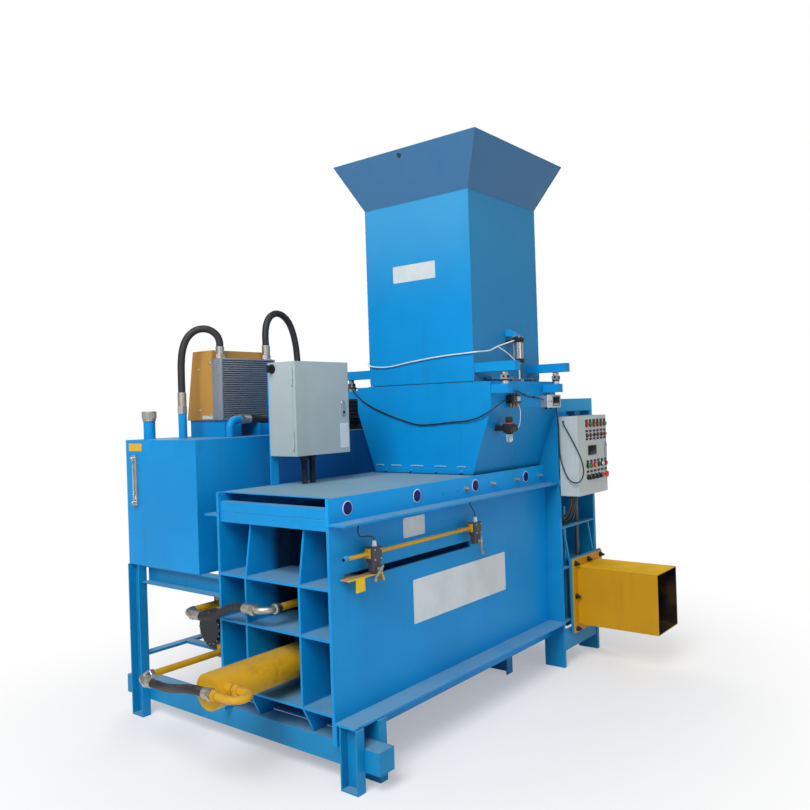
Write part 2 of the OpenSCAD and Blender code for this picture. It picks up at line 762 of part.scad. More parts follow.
module gate_rod() color(steel) placed() {
    axis_y = gate_y + gate_t / 2;
    foot = gate_low + gate_h + 36;
    head = gate_low + gate_h + gate_travel + 130;
    bar_z(chute_mid, axis_y, [foot, head], 14);
    bar_z(chute_mid, axis_y, [head - 30, head], 25 - fit);
}

// Hoppers

// Side panel of the feed hopper, seen along X
function hopper_outline() = [
    [hopper_y - foot_half, frame_top], [hopper_y + foot_half, frame_top],
    [hopper_y + rim_half, rim_low], [hopper_y + rim_half, rim_top],
    [hopper_y - rim_half, rim_top], [hopper_y - rim_half, rim_low]
];

// Sloping sheet and upright rim on the front of the feed hopper
hop_sheet = 6;
hop_span = [hopper_x + hop_sheet + weld, hop_x1 - hop_sheet - weld];
module feed_front() {
    foot = hopper_y - foot_half;
    rim = hopper_y - rim_half;
    along_x(hop_span, [
        [foot, frame_top], [foot + hop_sheet, frame_top],
        [rim + hop_sheet, rim_low - weld], [rim, rim_low - weld]
    ]);
    block(hop_span, [rim, rim + hop_sheet], [rim_low, rim_top]);
}

module feed_hopper() color(blue) placed() {
    along_x([hopper_x, hopper_x + hop_sheet], hopper_outline());
    along_x([hop_x1 - hop_sheet, hop_x1], hopper_outline());
    feed_front();
    rear_copy() feed_front();
}

module weigh_hopper() color(blue) placed() {
    x0 = weigh_x0;
    x1 = weigh_x1;
    y0 = weigh_y0;
    y1 = weigh_y1;
    z = [weigh_low, weigh_top];
    top_z = weigh_top + flare_h;
    for (x = [[x0, x0 + sheet], [x1 - sheet, x1]])
        block(x, [y0, y1], z);
    for (y = [[y0, y0 + sheet], [y1 - sheet, y1]])
        block([x0 + sheet + weld, x1 - sheet - weld], y, z);
    base = weigh_top + weld;
    plate8([
        [x0, y0, base], [x0, y1, base], [x0 + sheet, y1, base], [x0 + sheet, y0, base],
        [x0 - flare_x, y0 - flare_y, top_z], [x0 - flare_x, y1 + flare_y, top_z],
        [x0 - flare_x + sheet, y1 + flare_y, top_z], [x0 - flare_x + sheet, y0 - flare_y, top_z]
    ]);
    plate8([
        [x1 - sheet, y0, base], [x1 - sheet, y1, base], [x1, y1, base], [x1, y0, base],
        [x1 + flare_x - sheet, y0 - flare_y, top_z], [x1 + flare_x - sheet, y1 + flare_y, top_z],
        [x1 + flare_x, y1 + flare_y, top_z], [x1 + flare_x, y0 - flare_y, top_z]
    ]);
    a0 = x0 + sheet + weld;
    a1 = x1 - sheet - weld;
    plate8([
        [a0, y0, base], [a0, y0 + sheet, base], [a1, y0 + sheet, base], [a1, y0, base],
        [a0 - flare_x, y0 - flare_y, top_z], [a0 - flare_x, y0 - flare_y + sheet, top_z],
        [a1 + flare_x, y0 - flare_y + sheet, top_z], [a1 + flare_x, y0 - flare_y, top_z]
    ]);
    plate8([
        [a0, y1 - sheet, base], [a0, y1, base], [a1, y1, base], [a1, y1 - sheet, base],
        [a0 - flare_x, y1 + flare_y - sheet, top_z], [a0 - flare_x, y1 + flare_y, top_z],
        [a1 + flare_x, y1 + flare_y, top_z], [a1 + flare_x, y1 + flare_y - sheet, top_z]
    ]);
}

// Bracket stubs of both hoppers at one end of a side, and the flap's hinge pin in its lugs
module front_brackets() {
    rim = hopper_y - rim_half;
    for (x = [weigh_x0 + 2, weigh_x1 - stub - 100]) {
        block([x, x + stub], [weigh_y0 - stub_out, weigh_y0], [stub_low, stub_low + stub]);
        block([x, x + stub], [weigh_y0 - cell_off - 30, rim], [cell_low - 50, cell_low]);
    }
    pin_y = weigh_y0 - hinge_out;
    bar_x([weigh_x0 + 92, weigh_x1 - 92], pin_y, hinge_z, pin_r);
    for (x = [weigh_x0 + 112, weigh_x1 - 124]) {
        bar_x([x, x + 12], pin_y, hinge_z, 11);
        block([x, x + 12], [pin_y, weigh_y0], [hinge_z - 11, hinge_z + 11]);
    }
}

module weigh_brackets() color(blue) placed() {
    front_brackets();
    rear_copy() front_brackets();
}

// Load cell with a foot, a sensing block and a top button
module load_cell() {
    h = stub_low - cell_low;
    cylinder(h = 16, r = 20);
    translate([0, 0, 16]) cylinder(h = 10, r1 = 20, r2 = 12);
    translate([-14, -20, 24]) cube([28, 40, h - 44]);
    translate([0, 0, h - 22]) cylinder(h = 22, r = 14);
}

module load_cells() color(steel) placed() {
    for (x = [weigh_x0 + 2 + stub / 2, weigh_x1 - 100 - stub / 2])
        for (y = [weigh_y0 - cell_off, weigh_y1 + cell_off])
            translate([x, y, cell_low]) load_cell();
    block([weigh_x1 - 190, weigh_x1 - 30], [hopper_y - rim_half - 48, hopper_y - rim_half], [1622, 1692]);
}

// Flap with its knuckles on the hinge pin and the lever that the air rod lifts
module flap_shape() {
    pin_y = weigh_y0 - hinge_out;
    x = [weigh_x0 + 10, weigh_x1 - 10];
    low = weigh_low - 1 - flap_t;
    knuckle_r = hinge_z - low - flap_t / 2;
    arm = [-lever * cos(flap_swing / 2), -lever * sin(flap_swing / 2)];
    difference() {
        union() {
            block(x, [pin_y - 6, hopper_y - 2], [low, low + flap_t]);
            for (k = [weigh_x0 + 130, weigh_mid - 4, weigh_x1 - 142])
                bar_x([k, k + 12], pin_y, hinge_z, knuckle_r);
            translate([weigh_mid - 4, pin_y, hinge_z]) rotate([flap_swing / 2, 0, 0])
                translate([0, -lever, -9]) cube([12, lever, 18]);
            bar_x([weigh_mid - 4, weigh_mid + 8], pin_y + arm[0], hinge_z + arm[1], 9);
            bar_x([weigh_mid - 18, weigh_mid + 22], pin_y + arm[0], hinge_z + arm[1], 6);
        }
        bar_x([x[0] - eps, x[1] + eps], pin_y, hinge_z, pin_r + fit);
    }
}

module flap_front() color(steel) placed() flap_shape();
module flap_rear() color(steel) placed() rear_copy() flap_shape();

// Air cylinder that works a flap, on a bracket against the weigh hopper
module air_cylinder() {
    y = weigh_y0 - rod_out;
    z = [hinge_z + 92, hinge_z + 242];
    difference() {
        union() {
            for (cap = [[z[0], z[0] + 26], [z[1] - 30, z[1]]])
                block([weigh_mid - 24, weigh_mid + 28], [y - 24, y + 24], cap);
            bar_z(weigh_mid + 2, y, z, 21);
            for (sx = [-18, 22], sy = [-18, 18]) bar_z(weigh_mid + sx, y + sy, z, 3);
            block([weigh_mid - 24, weigh_mid + 28], [y + 20, weigh_y0], [z[1] - 24, z[1] - 12]);
        }
        bar_z(weigh_mid + 2, y, [z[0] - eps, z[0] + 130], air_rod_r + fit);
    }
}

// Outer face of the feed hopper's sloping front at a height
function sheet_y(z) =
    hopper_y - foot_half - (rim_half - foot_half) * (z - frame_top) / (rim_low - weld - frame_top);

module air_gear() color(black) placed() {
    rim = hopper_y - rim_half;
    air_cylinder();
    rear_copy() air_cylinder();
    // Valve on the rim, set off from the hopper's middle
    valve_off = 218;
    valve_x = weigh_mid - valve_off;
    block([valve_x, valve_x + 100], [rim - 40, rim], [rim_low + 25, rim_low + 73]);
    for (k = [0 : 2]) bar_z(valve_x + 16 + 34 * k, rim - 20, [rim_low + 3, rim_low + 25], 9);
    // Filter regulator on a wedge bracket against the sloping sheet, set in from the hopper's corner
    unit_in = 117;
    mid = hopper_x + unit_in;
    unit_z = rim_low - 137;
    unit_y = sheet_y(rim_low - 47) - 34;
    along_x([mid - 20, mid + 20], [
        [unit_y, unit_z + 10], [sheet_y(unit_z + 10), unit_z + 10],
        [sheet_y(unit_z + 40), unit_z + 40], [unit_y, unit_z + 40]
    ]);
    block([mid - 30, mid + 30], [unit_y - 50, unit_y], [unit_z, unit_z + 50]);
    bar_z(mid, unit_y - 25, [unit_z + 50, unit_z + 90], 19);
    bar_z(mid, unit_y - 25, [unit_z - 58, unit_z], 20);
    bar_y(mid + 50, [unit_y - 40, unit_y - 10], unit_z + 25, 20);
}

// Rod of the air cylinder with a slotted fork that holds the flap's lever pin
module air_rod() {
    y = weigh_y0 - rod_out;
    pin_z = hinge_z - lever * sin(flap_swing / 2);
    slot_half = lever * (1 - cos(flap_swing / 2)) / 2 + 8;
    fork = [pin_z - 15, pin_z + 36];
    difference() {
        union() {
            bar_z(weigh_mid + 2, y, [fork[1], hinge_z + 130], air_rod_r);
            block([weigh_mid - 16, weigh_mid + 20], [y - 13, y + 13], [pin_z + 24, fork[1]]);
            for (x = [[weigh_mid - 16, weigh_mid - 6], [weigh_mid + 10, weigh_mid + 20]])
                block(x, [y - slot_half - 7, y + slot_half + 7], fork);
        }
        block([weigh_mid - 17, weigh_mid + 21], [y - slot_half, y + slot_half], [pin_z - 8, pin_z + 8]);
    }
}

module air_rod_front() color(steel) placed() air_rod();
module air_rod_rear() color(steel) placed() rear_copy() air_rod();

// Power pack

// Blue pipe that leaves the tank and turns toward +X or -X
module tank_elbow(x, toward) {
    r = 22;
    rise = back_z - elbow_r;
    bar_z(x, back_y, [tank_top - eps, rise], r);
    translate([x, back_y, rise]) mirror([toward < 0 ? 1 : 0, 0, 0]) {
        translate([elbow_r, 0, 0]) rotate([90, 0, 180]) rotate_extrude(angle = 90)
            translate([elbow_r, 0]) circle(r);
        bar_x([elbow_r, elbow_r + 22], 0, elbow_r, r);
    }
}

module oil_tank() color(blue) placed() {
    block([tank_x, tank_x + tank_len], [tank_y0, tank_y1], [tank_low, tank_top]);
    bar_z(neck_at[0], neck_at[1], [tank_top - eps, tank_top + neck_h], 32);
    bar_z(stub_at[0], stub_at[1], [tank_top - eps, tank_top + stub_h], 23);
    bar_z(return_x, port_y, [tank_top - eps, tank_top + return_h], 23);
    tank_elbow(back_x[0], 1);
    tank_elbow(back_x[1], -1);
    for (x = [core_x + 10, core_x + core_len - 130])
        block([x, x + 120], [core_y, core_y + 300], [tank_top - eps, core_z]);
}

module level_gauge() color(steel) placed() {
    y = tank_y1 - 92;
    z = [tank_low + 328, tank_top - 82];
    difference() {
        block([tank_x - 14, tank_x], [y - 20, y + 20], z);
        block([tank_x - 15, tank_x - 6], [y - 9, y + 9], [z[0] + 34, z[1] - 34]);
    }
    for (end = [z[0] + 17, z[1] - 17]) bar_x([tank_x - 24, tank_x - 14], y, end, 10);
}

module filler_cap() color(steel) placed() {
    seat = tank_top + neck_h + slide_gap;
    ridges = 24;
    translate([neck_at[0], neck_at[1], seat]) {
        cylinder(h = 14, r = 36);
        translate([0, 0, 14]) difference() {
            cylinder(h = 40, r = 40);
            for (k = [0 : ridges - 1])
                rotate(360 * k / ridges) translate([41, 0, -eps]) cylinder(h = 32, r = 3, $fn = 6);
        }
    }
}

module cooler_core() color("slategray") placed() {
    cap = 12;
    pitch = 22;
    fin_rows = floor((core_h - 20) / pitch);
    x = [core_x, core_x + core_len];
    y = [core_y, core_y + core_d];
    z = [core_z, core_z + core_h];
    difference() {
        block(x, y, z);
        for (k = [0 : fin_rows - 1])
            block(
                [x[0] + cap, x[1] - cap],
                [y[0] - eps, y[0] + 22],
                [z[0] + 12 + k * pitch, z[0] + 20 + k * pitch]
            );
        bar_y(fan_x, [y[1] - 16, y[1] + eps], fan_z, fan_r + 6);
    }
}

module cooler_shroud() color("orange") placed() {
    t = 4;
    x = [core_x, core_x + core_len];
    inside = [x[0] + t + weld, x[1] - t - weld];
    front = core_y + core_d;
    back = front + shroud_d;
    lean = 66;
    z = [core_z, core_z + core_h, core_z + core_h + 50];
    outline = [[front, z[0]], [back, z[0]], [back - lean, z[2]], [front, z[2]]];
    for (side = [[x[0], x[0] + t], [x[1] - t, x[1]]]) along_x(side, outline);
    along_x(inside, [[front, z[0]], [back - t, z[0]], [back - t, z[0] + t], [front, z[0] + t]]);
    block(inside, [front, back - lean - t - weld], [z[2] - t, z[2]]);
    // Strip over the core
    block(inside, [front, front + t], [z[1], z[2] - t - weld]);
    // Four bars of the rear sheet round the fan's mouth
    mouth = fan_r + 8;
    rear_z = [z[0] + t + weld, fan_z - mouth, fan_z + mouth, z[2] - 1];
    rear_y = [for (level = rear_z) back - lean * (level - z[0]) / (z[2] - z[0])];
    for (bar = [[inside[0], fan_x - mouth, 0, 3], [fan_x + mouth, inside[1], 0, 3],
                [fan_x - mouth + weld, fan_x + mouth - weld, 0, 1],
                [fan_x - mouth + weld, fan_x + mouth - weld, 2, 3]])
        along_x([bar[0], bar[1]], [
            [rear_y[bar[2]] - t, rear_z[bar[2]]], [rear_y[bar[2]], rear_z[bar[2]]],
            [rear_y[bar[3]], rear_z[bar[3]]], [rear_y[bar[3]] - t, rear_z[bar[3]]]
        ]);
    // Bridge that carries the fan
    difference() {
        union() {
            block(inside, [back - 60, back - 50], [fan_z - 10, fan_z + 10]);
            bar_y(fan_x, [back - 60, back - 10], fan_z, 40);
        }
        bar_y(fan_x, [back - 61, back - 20], fan_z, 10 + fit);
    }
}

module cooler_fan() color(black) placed() {
    back = core_y + core_d + shroud_d - 60;
    hub_y = [back - 60, back - slide_gap];
    blades = 5;
    bar_y(fan_x, hub_y, fan_z, 38);
    bar_y(fan_x, [hub_y[1] - eps, back + 38], fan_z, 10);
    for (k = [0 : blades - 1])
        translate([fan_x, hub_y[0] + 30, fan_z]) rotate([0, 360 * k / blades, 0]) rotate([0, 0, 28])
            translate([-34, -2, 20]) cube([68, 4, fan_r - 22]);
}

module pump_motor() color(black) placed() {
    x = [tank_x + 225, tank_x + 630];
    ribs = 28;
    bar_x([x[0], x[0] + 60], motor_y, motor_z, motor_r);
    difference() {
        bar_x([x[0] + 60, x[1] - 50], motor_y, motor_z, motor_r - 4);
        for (k = [0 : ribs - 1])
            translate([x[0] + 60, motor_y, motor_z]) rotate([360 * k / ribs, 0, 0])
                translate([-eps, -5, motor_r - 14]) cube([x[1] - x[0] - 108, 10, 20]);
    }
    bar_x([x[1] - 50, x[1]], motor_y, motor_z, motor_r);
    bar_x([x[0] - 24, x[0]], motor_y, motor_z, motor_r - 40);
    for (fx = rail_x)
        block([fx + 5, fx + leg_d - 5], [motor_y - 90, motor_y + 90], [rail_deck, motor_z - motor_r + 20]);
    block([x[0] + 130, x[0] + 260], [motor_y + 60, motor_y + 150], [motor_z + 40, motor_z + 140]);
    circulation_motor();
}

// Small motor that lies on the tank's top, clear of the cooler line's port there
module circulation_motor() {
    r = 92;
    y = tank_y0 + 140;
    z = tank_top + r + 30;
    port_clear = 200;
    motor_len = 270;
    end = return_x + port_clear + motor_len;
    ribs = 20;
    bar_x([end - 60, end], y, z, r);
    difference() {
        bar_x([end - 240, end - 60], y, z, r - 4);
        for (k = [0 : ribs - 1])
            translate([end - 241, y, z]) rotate([360 * k / ribs, 0, 0])
                translate([0, -5, r - 14]) cube([181, 10, 20]);
    }
    bar_x([end - 270, end - 240], y, z, r);
    for (x = [end - 262, end - 52])
        block([x, x + 44], [y - 70, y + 70], [tank_top, z - r / 2]);
}

module valve_block() color(yellow) placed() {
    x = [200, 320];
    coil_y = line_y - 14;
    block(x, [line_y - 46, line_y + 16], [rail_deck, 700]);
    bar_x([-bend_r - 200, x[0]], line_y, low_line_z, pipe_r);
    bar_x([15, x[0]], line_y, top_line_z, pipe_r);
    for (z = [low_line_z, top_line_z])
        block([x[0] - 22, x[0]], [line_y - 32, line_y + 32], [z - 32, z + 32]);
    for (z = [440, 520, 600]) bar_x([x[1], x[1] + 70], coil_y, z, 24);
}

// Crimped sleeve with a nut, drawn along Z from the seat
module sleeve(len) {
    cylinder(h = len, r = sleeve_r);
    cylinder(h = len * 0.35, r = nut_r, $fn = 6);
}

module fit_up(place, len)
    translate(place) sleeve(len);

module hose_fittings() color(steel) placed() {
    // Ram hose: sleeve on the U bend, sleeve and elbow to the low line
    translate([u_x, u_end, u_z]) rotate([-90, 0, 0]) sleeve(55);
    elbow_x = -200 - 2 * bend_r;
    translate([elbow_x, line_y - bend_r, low_line_z]) rotate([90, 0, 0]) sleeve(55);
    bend([elbow_x + bend_r, line_y - bend_r, low_line_z], [0, 0, 90], bend_r, pipe_r + 2);
    // Rod hose: elbow and sleeve from the rod pipe, sleeve and elbow to the top line
    near_x = 15 - bend_r;
    bend([15, mid_w + bend_r, pipe_z], [0, 0, 180], bend_r, pipe_r);
    translate([near_x, mid_w + bend_r, pipe_z]) rotate([-90, 0, 0]) sleeve(80);
    translate([near_x, line_y - bend_r, top_line_z]) rotate([90, 0, 0]) sleeve(75);
    bend([15, line_y - bend_r, top_line_z], [0, 0, 90], bend_r, pipe_r + 2);
    // Cooler hoses
    fit_up([stub_at[0], stub_at[1], tank_top + stub_h], stub_sleeve);
    fit_up([port_x0, port_y, core_z + core_h], port_sleeve);
    fit_up([port_x1, port_y, core_z + core_h], port_sleeve + 20);
    fit_up([return_x, port_y, tank_top + return_h], return_sleeve);
    // Return line
    for (k = [0, 1])
        translate([back_x[k] + (k == 0 ? 72 : -72), back_y, back_z])
            rotate([0, k == 0 ? 90 : -90, 0])
                sleeve(70);
}

module ram_hose() color(black) placed() cord(ram_hose_route, hose_r, 12);
module rod_hose() color(black) placed() cord(rod_hose_route, hose_r, 12);
module cooler_hose_left() color(black) placed() cord(cooler_left_route, hose_r, 12);
module cooler_hose_right() color(black) placed() cord(cooler_right_route, hose_r, 12);
module return_hose() color(black) placed() cord(return_route, hose_r, 12);
module sensor_cable() color(black) placed() cord(sensor_route, 4, 8);
module air_tube() color("white") placed() cord(air_route, 4, 8);
module panel_cable() color(black) placed() cord(panel_route, 4, 8);

// Electric boxes

// Sheet box that is open at the front, between corner ranges
module open_box(x, y, z, t) {
    difference() {
        block(x, y, z);
        block([x[0] + t, x[1] - t], [y[0] - eps, y[1] - t], [z[0] + t, z[1] - t]);
    }
}

module control_box() color(grey) placed() {
    x = [box_x, box_x + box_w];
    y = [box_y + door_t + 0.5, box_y + box_d];
    z = [box_z, box_z + box_h];
    difference() {
        open_box(x, y, z, 3);
        bar_x([x[0] - eps, x[0] + 4], y[1] - 31, z[1] - 33, 6 + fit);
    }
    hinge_part(x[0], -1, y[0] - 0.25, z, false);
    // Post behind the box, from the top cover up
    block([x[0], x[0] + 54], [y[1], y[1] + post_t], [frame_top, z[1]]);
    // Glands and conduits under the box
    for (gx = [x[0] + 145, x[0] + 205]) {
        bar_z(gx, y[0] + 80, [z[0] - 30, z[0] + eps], 20);
        bar_z(gx, y[0] + 80, [frame_top, z[0] - 30], 15);
    }
}

// Hinge barrels beside a box edge: the box carries the pin and outer barrels, the door the middle ones
hinge_r = 6;
hinge_pin = 3;
hinge_len = 30;
hinge_from_end = 80;
module hinge_part(x, toward, y, z, on_door) {
    side = toward < 0 ? [x - hinge_r, x] : [x, x + hinge_r];
    axis_x = x + toward * hinge_r;
    leaf_y = on_door ? [y - 7, y - 0.25] : [y + 0.25, y + 7];
    for (mid = [z[0] + hinge_from_end, z[1] - hinge_from_end]) {
        spans = on_door ? [[mid - hinge_len / 2, mid + hinge_len / 2]]
            : [[mid - 1.5 * hinge_len, mid - hinge_len / 2 - seat_gap],
               [mid + hinge_len / 2 + seat_gap, mid + 1.5 * hinge_len]];
        for (span = spans) difference() {
            union() {
                bar_z(axis_x, y, span, hinge_r);
                block(side, leaf_y, span);
            }
            if (on_door) bar_z(axis_x, y, [span[0] - eps, span[1] + eps], hinge_pin + fit);
        }
        if (!on_door) bar_z(axis_x, y, [mid - 1.5 * hinge_len, mid + 1.5 * hinge_len], hinge_pin);
    }
}

// Door tray with folded edges
module door_tray(x, y, z) {
    difference() {
        block(x, y, z);
        block([x[0] + 3, x[1] - 3], [y[0] + 3, y[1] + eps], [z[0] + 3, z[1] - 3]);
    }
}

module control_box_door() color(grey) placed() {
    x = [box_x, box_x + box_w];
    z = [box_z, box_z + box_h];
    difference() {
        door_tray(x, [box_y, box_y + door_t], z);
        bar_y(x[1] - 48, [box_y - eps, box_y + 4], box_z + 238, 8 + fit);
    }
    hinge_part(x[0], -1, box_y + door_t + 0.25, z, true);
}

module door_latch() color(black) placed() {
    x = box_x + box_w - 48;
    z = box_z + 238;
    reach = [z - 30, z + 32];
    for (end = reach) bar_y(x, [box_y - 12, box_y - slide_gap], end, 13);
    block([x - 13, x + 13], [box_y - 12, box_y - slide_gap], reach);
    bar_y(x, [box_y - 6, box_y + 16], z, 8);
}

module isolator_knob() color(black) placed() {
    y = box_y + box_d - 31;
    z = box_z + box_h - 33;
    bar_x([box_x - 8, box_x - slide_gap], y, z, 24);
    difference() {
        bar_x([box_x - 34, box_x - 8], y, z, 20);
        for (s = [-1, 1]) block([box_x - 35, box_x - 12], [y + s * 16 - 9, y + s * 16 + 9], [z - 30, z + 30]);
    }
    bar_x([box_x - 8, box_x + 20], y, z, 6);
}

// Grid of the panel's controls: X places and row heights
panel_cols = [for (k = [0 : 5]) panel_x + panel_w - 284 + 52 * k];
panel_rows = [for (up = [108, 180, 273, 368, 435]) panel_z + up];

module panel_box() color(grey) placed() {
    x = [panel_x, panel_x + panel_w];
    z = [panel_z, panel_z + panel_h];
    open_box(x, [panel_front, panel_back], z, 3);
    hinge_part(x[1], 1, panel_front - 0.25, z, false);
}

// Front face of the panel's door, and the places of its two push heads
door_face = panel_front - 0.5 - door_t;
start_at = [panel_cols[0], panel_rows[1]];
stop_at = [panel_cols[5] - 4, panel_rows[0]];

module panel_door() color(grey) placed() {
    x = [panel_x, panel_x + panel_w];
    difference() {
        door_tray(x, [door_face, door_face + door_t], [panel_z, panel_z + panel_h]);
        for (p = [start_at, stop_at]) bar_y(p[0], [door_face - eps, door_face + 4], p[1], head_r + fit);
    }
    hinge_part(x[1], 1, panel_front - 0.25, [panel_z, panel_z + panel_h], true);
}

// Lamps, buttons, selectors and the display on the panel's door
module panel_controls() color(black) placed() {
    y = [door_face - 12, door_face];
    for (c = [0 : 5]) {
        bar_y(panel_cols[c], y, panel_rows[4], 14);
        bar_y(panel_cols[c], y, panel_rows[3], 11);
    }
    for (c = [1 : 5]) bar_y(panel_cols[c], y, panel_rows[1], 14);
    for (c = [0 : 3]) {
        bar_y(panel_cols[c], [door_face - 8, door_face], panel_rows[0], 15);
        block([panel_cols[c] - 4, panel_cols[c] + 4], [door_face - 22, door_face - 8],
            [panel_rows[0] - 14, panel_rows[0] + 14]);
    }
    block(
        [panel_cols[0] + 10, panel_cols[2] + 22],
        [door_face - 8, door_face],
        [panel_rows[2] - 26, panel_rows[2] + 26]
    );
}

// Push head with its stem through the door
module push_head(place, r) {
    bar_y(place[0], [door_face - 20, door_face - 8], place[1], r);
    bar_y(place[0], [door_face - 8, door_face + 16], place[1], head_r);
}

module start_button() color("green") placed() push_head(start_at, 13);
module emergency_stop() color("red") placed() push_head(stop_at, 20);

// Limit switches

module limit_switches() color(black) placed() {
    bar_x([40, switch_x[1]], rail_y, rail_z, 9);
    for (x = [52, switch_x[1] - 60]) block([x, x + 24], [rail_y, 0], [rail_z - 6, rail_z + 6]);
    for (k = [0, 1]) {
        x = switch_x[k];
        block([x, x + switch_w], [switch_y, rail_y + 12], [rail_z - 38, rail_z + 32]);
        block([x + 6, x + switch_w - 6], [switch_y + 4, rail_y + 8], [pivot_z - 14, rail_z - 38]);
        bar_z(x + 32, rail_y - 10, [rail_z + 32, rail_z + 56], 10);
        translate([x + 32, rail_y - 10, rail_z + 54])
            cord(k == 0 ? switch_cable_left : switch_cable_right, 3, 8);
        bar_y(x + 40, [switch_y - 14, switch_y + 8], pivot_z, 5);
    }
}

// Lever with a roller, hung on the switch's pivot
module limit_lever(x, tilt) {
    y = [switch_y - 13, switch_y - 7];
    translate([x + 40, 0, pivot_z]) rotate([0, tilt, 0]) difference() {
        union() {
            block([-6, 6], y, [-66, 22]);
            bar_y(0, y, 0, 11);
            bar_y(0, [switch_y - 20, y[0]], -62, 9);
        }
        bar_y(0, [switch_y - 30, switch_y], 0, 5 + fit);
    }
}

module limit_lever_left() color(steel) placed() limit_lever(switch_x[0], tilt_left);
module limit_lever_right() color(steel) placed() limit_lever(switch_x[1], 0);

side_plates();
chamber_plates();
end_shelves();
end_ribs();
reaction_plates();
top_cover();
side_rails();
legs();
cross_beams();
block_plates();
block_webs();
chute();
main_cylinder();
rod_pipe();
ram();
ram_rod();
trip_arm();
block_cylinders();
ejector_plate();
ejector_rod();
gate();
gate_rod();
feed_hopper();
weigh_hopper();
weigh_brackets();
load_cells();
flap_front();
flap_rear();
air_gear();
air_rod_front();
air_rod_rear();
oil_tank();
level_gauge();
filler_cap();
cooler_core();
cooler_shroud();
cooler_fan();
pump_motor();
valve_block();
hose_fittings();
ram_hose();
rod_hose();
cooler_hose_left();
cooler_hose_right();
return_hose();
sensor_cable();
air_tube();
panel_cable();
control_box();
control_box_door();
door_latch();
isolator_knob();
panel_box();
panel_door();
panel_controls();
start_button();
emergency_stop();
limit_switches();
limit_lever_left();
limit_lever_right();
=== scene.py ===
import bpy
import bmesh
import math
from itertools import product
from mathutils import Matrix, Vector


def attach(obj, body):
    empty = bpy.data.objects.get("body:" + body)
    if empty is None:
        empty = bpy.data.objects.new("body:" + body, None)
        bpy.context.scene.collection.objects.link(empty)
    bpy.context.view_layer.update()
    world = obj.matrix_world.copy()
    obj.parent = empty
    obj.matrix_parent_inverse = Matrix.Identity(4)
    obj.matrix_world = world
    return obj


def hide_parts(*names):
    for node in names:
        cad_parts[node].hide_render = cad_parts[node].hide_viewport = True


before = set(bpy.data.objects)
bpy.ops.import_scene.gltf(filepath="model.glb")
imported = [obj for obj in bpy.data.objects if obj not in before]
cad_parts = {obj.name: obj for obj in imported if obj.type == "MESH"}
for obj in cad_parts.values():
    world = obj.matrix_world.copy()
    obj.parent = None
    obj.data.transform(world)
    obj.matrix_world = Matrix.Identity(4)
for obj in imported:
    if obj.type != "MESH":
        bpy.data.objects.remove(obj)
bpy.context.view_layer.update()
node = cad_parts

# The machine's own places are in millimetres from the cylinder end; the frame's origin is mid footprint.
MID_X, MID_Y = 1025.7, 550.0


def at(x, y, z):
    """A place on the machine in the frame's metres."""
    return Vector(((x - MID_X) / 1000, (y - MID_Y) / 1000, z / 1000))


def put(name, data):
    """A new object in the scene."""
    thing = bpy.data.objects.new(name, data)
    bpy.context.scene.collection.objects.link(thing)
    return thing


# Camera at the photograph's place

PHOTO_PIXELS = 810
FOCAL_PIXELS = 795.62
SENSOR_MM = 36
EYE = (-2502.6, -2414.8, 1650)
YAW_PITCH_ROLL = (38.2015, 0.1535, -1.855)


def aim_camera():
    yaw, pitch, roll = (math.radians(angle) for angle in YAW_PITCH_ROLL)
    ahead = Vector((math.cos(yaw) * math.cos(pitch), math.sin(yaw) * math.cos(pitch), math.sin(pitch)))
    level = Vector((math.sin(yaw), -math.cos(yaw), 0))
    over = level.cross(ahead)
    right = level * math.cos(roll) + over * math.sin(roll)
    up = over * math.cos(roll) - level * math.sin(roll)
    data = bpy.data.cameras.new("photo_camera")
    data.sensor_width = SENSOR_MM
    data.lens = SENSOR_MM * FOCAL_PIXELS / PHOTO_PIXELS
    data.clip_start, data.clip_end = 0.05, 100
    cam = put("photo_camera", data)
    turn = Matrix((right, up, -ahead)).transposed().to_4x4()
    cam.matrix_world = Matrix.Translation(at(*EYE)) @ turn
    bpy.context.scene.camera = cam


aim_camera()


# Shader maths

def maths(operation, swapped=False):
    """An operator of Wire that becomes a Math node."""
    def method(self, other):
        a, b = (other, self) if swapped else (self, other)
        return self.graph.node("Math", {"operation": operation}, {0: a, 1: b})
    return method


class Wire:
    """A shader socket that takes part in arithmetic."""

    def __init__(self, graph, socket):
        self.graph = graph
        self.socket = socket

    __add__ = maths("ADD")
    __radd__ = maths("ADD", swapped=True)
    __sub__ = maths("SUBTRACT")
    __rsub__ = maths("SUBTRACT", swapped=True)
    __mul__ = maths("MULTIPLY")
    __gt__ = maths("GREATER_THAN")

    def clip(self, low, high):
        """0 below low, 1 above high, smooth between."""
        return self.graph.node("MapRange", {"interpolation_type": "SMOOTHSTEP"},
                               {0: self, 1: low, 2: high, 3: 0.0, 4: 1.0})


class Graph:
    """A node tree built from wires."""

    def __init__(self, tree):
        self.tree = tree

    def node(self, kind, settings=None, inputs=None, out=0):
        n = self.tree.nodes.new("ShaderNode" + kind)
        for key, value in (settings or {}).items():
            setattr(n, key, value)
        for key, value in (inputs or {}).items():
            self.feed(n.inputs[key], value)
        return Wire(self, n.outputs[out])

    def feed(self, socket, value):
        if isinstance(value, Wire):
            self.tree.links.new(value.socket, socket)
        elif isinstance(value, tuple) and len(value) == 3 and socket.type == "RGBA":
            socket.default_value = (*value, 1)
        else:
            socket.default_value = value


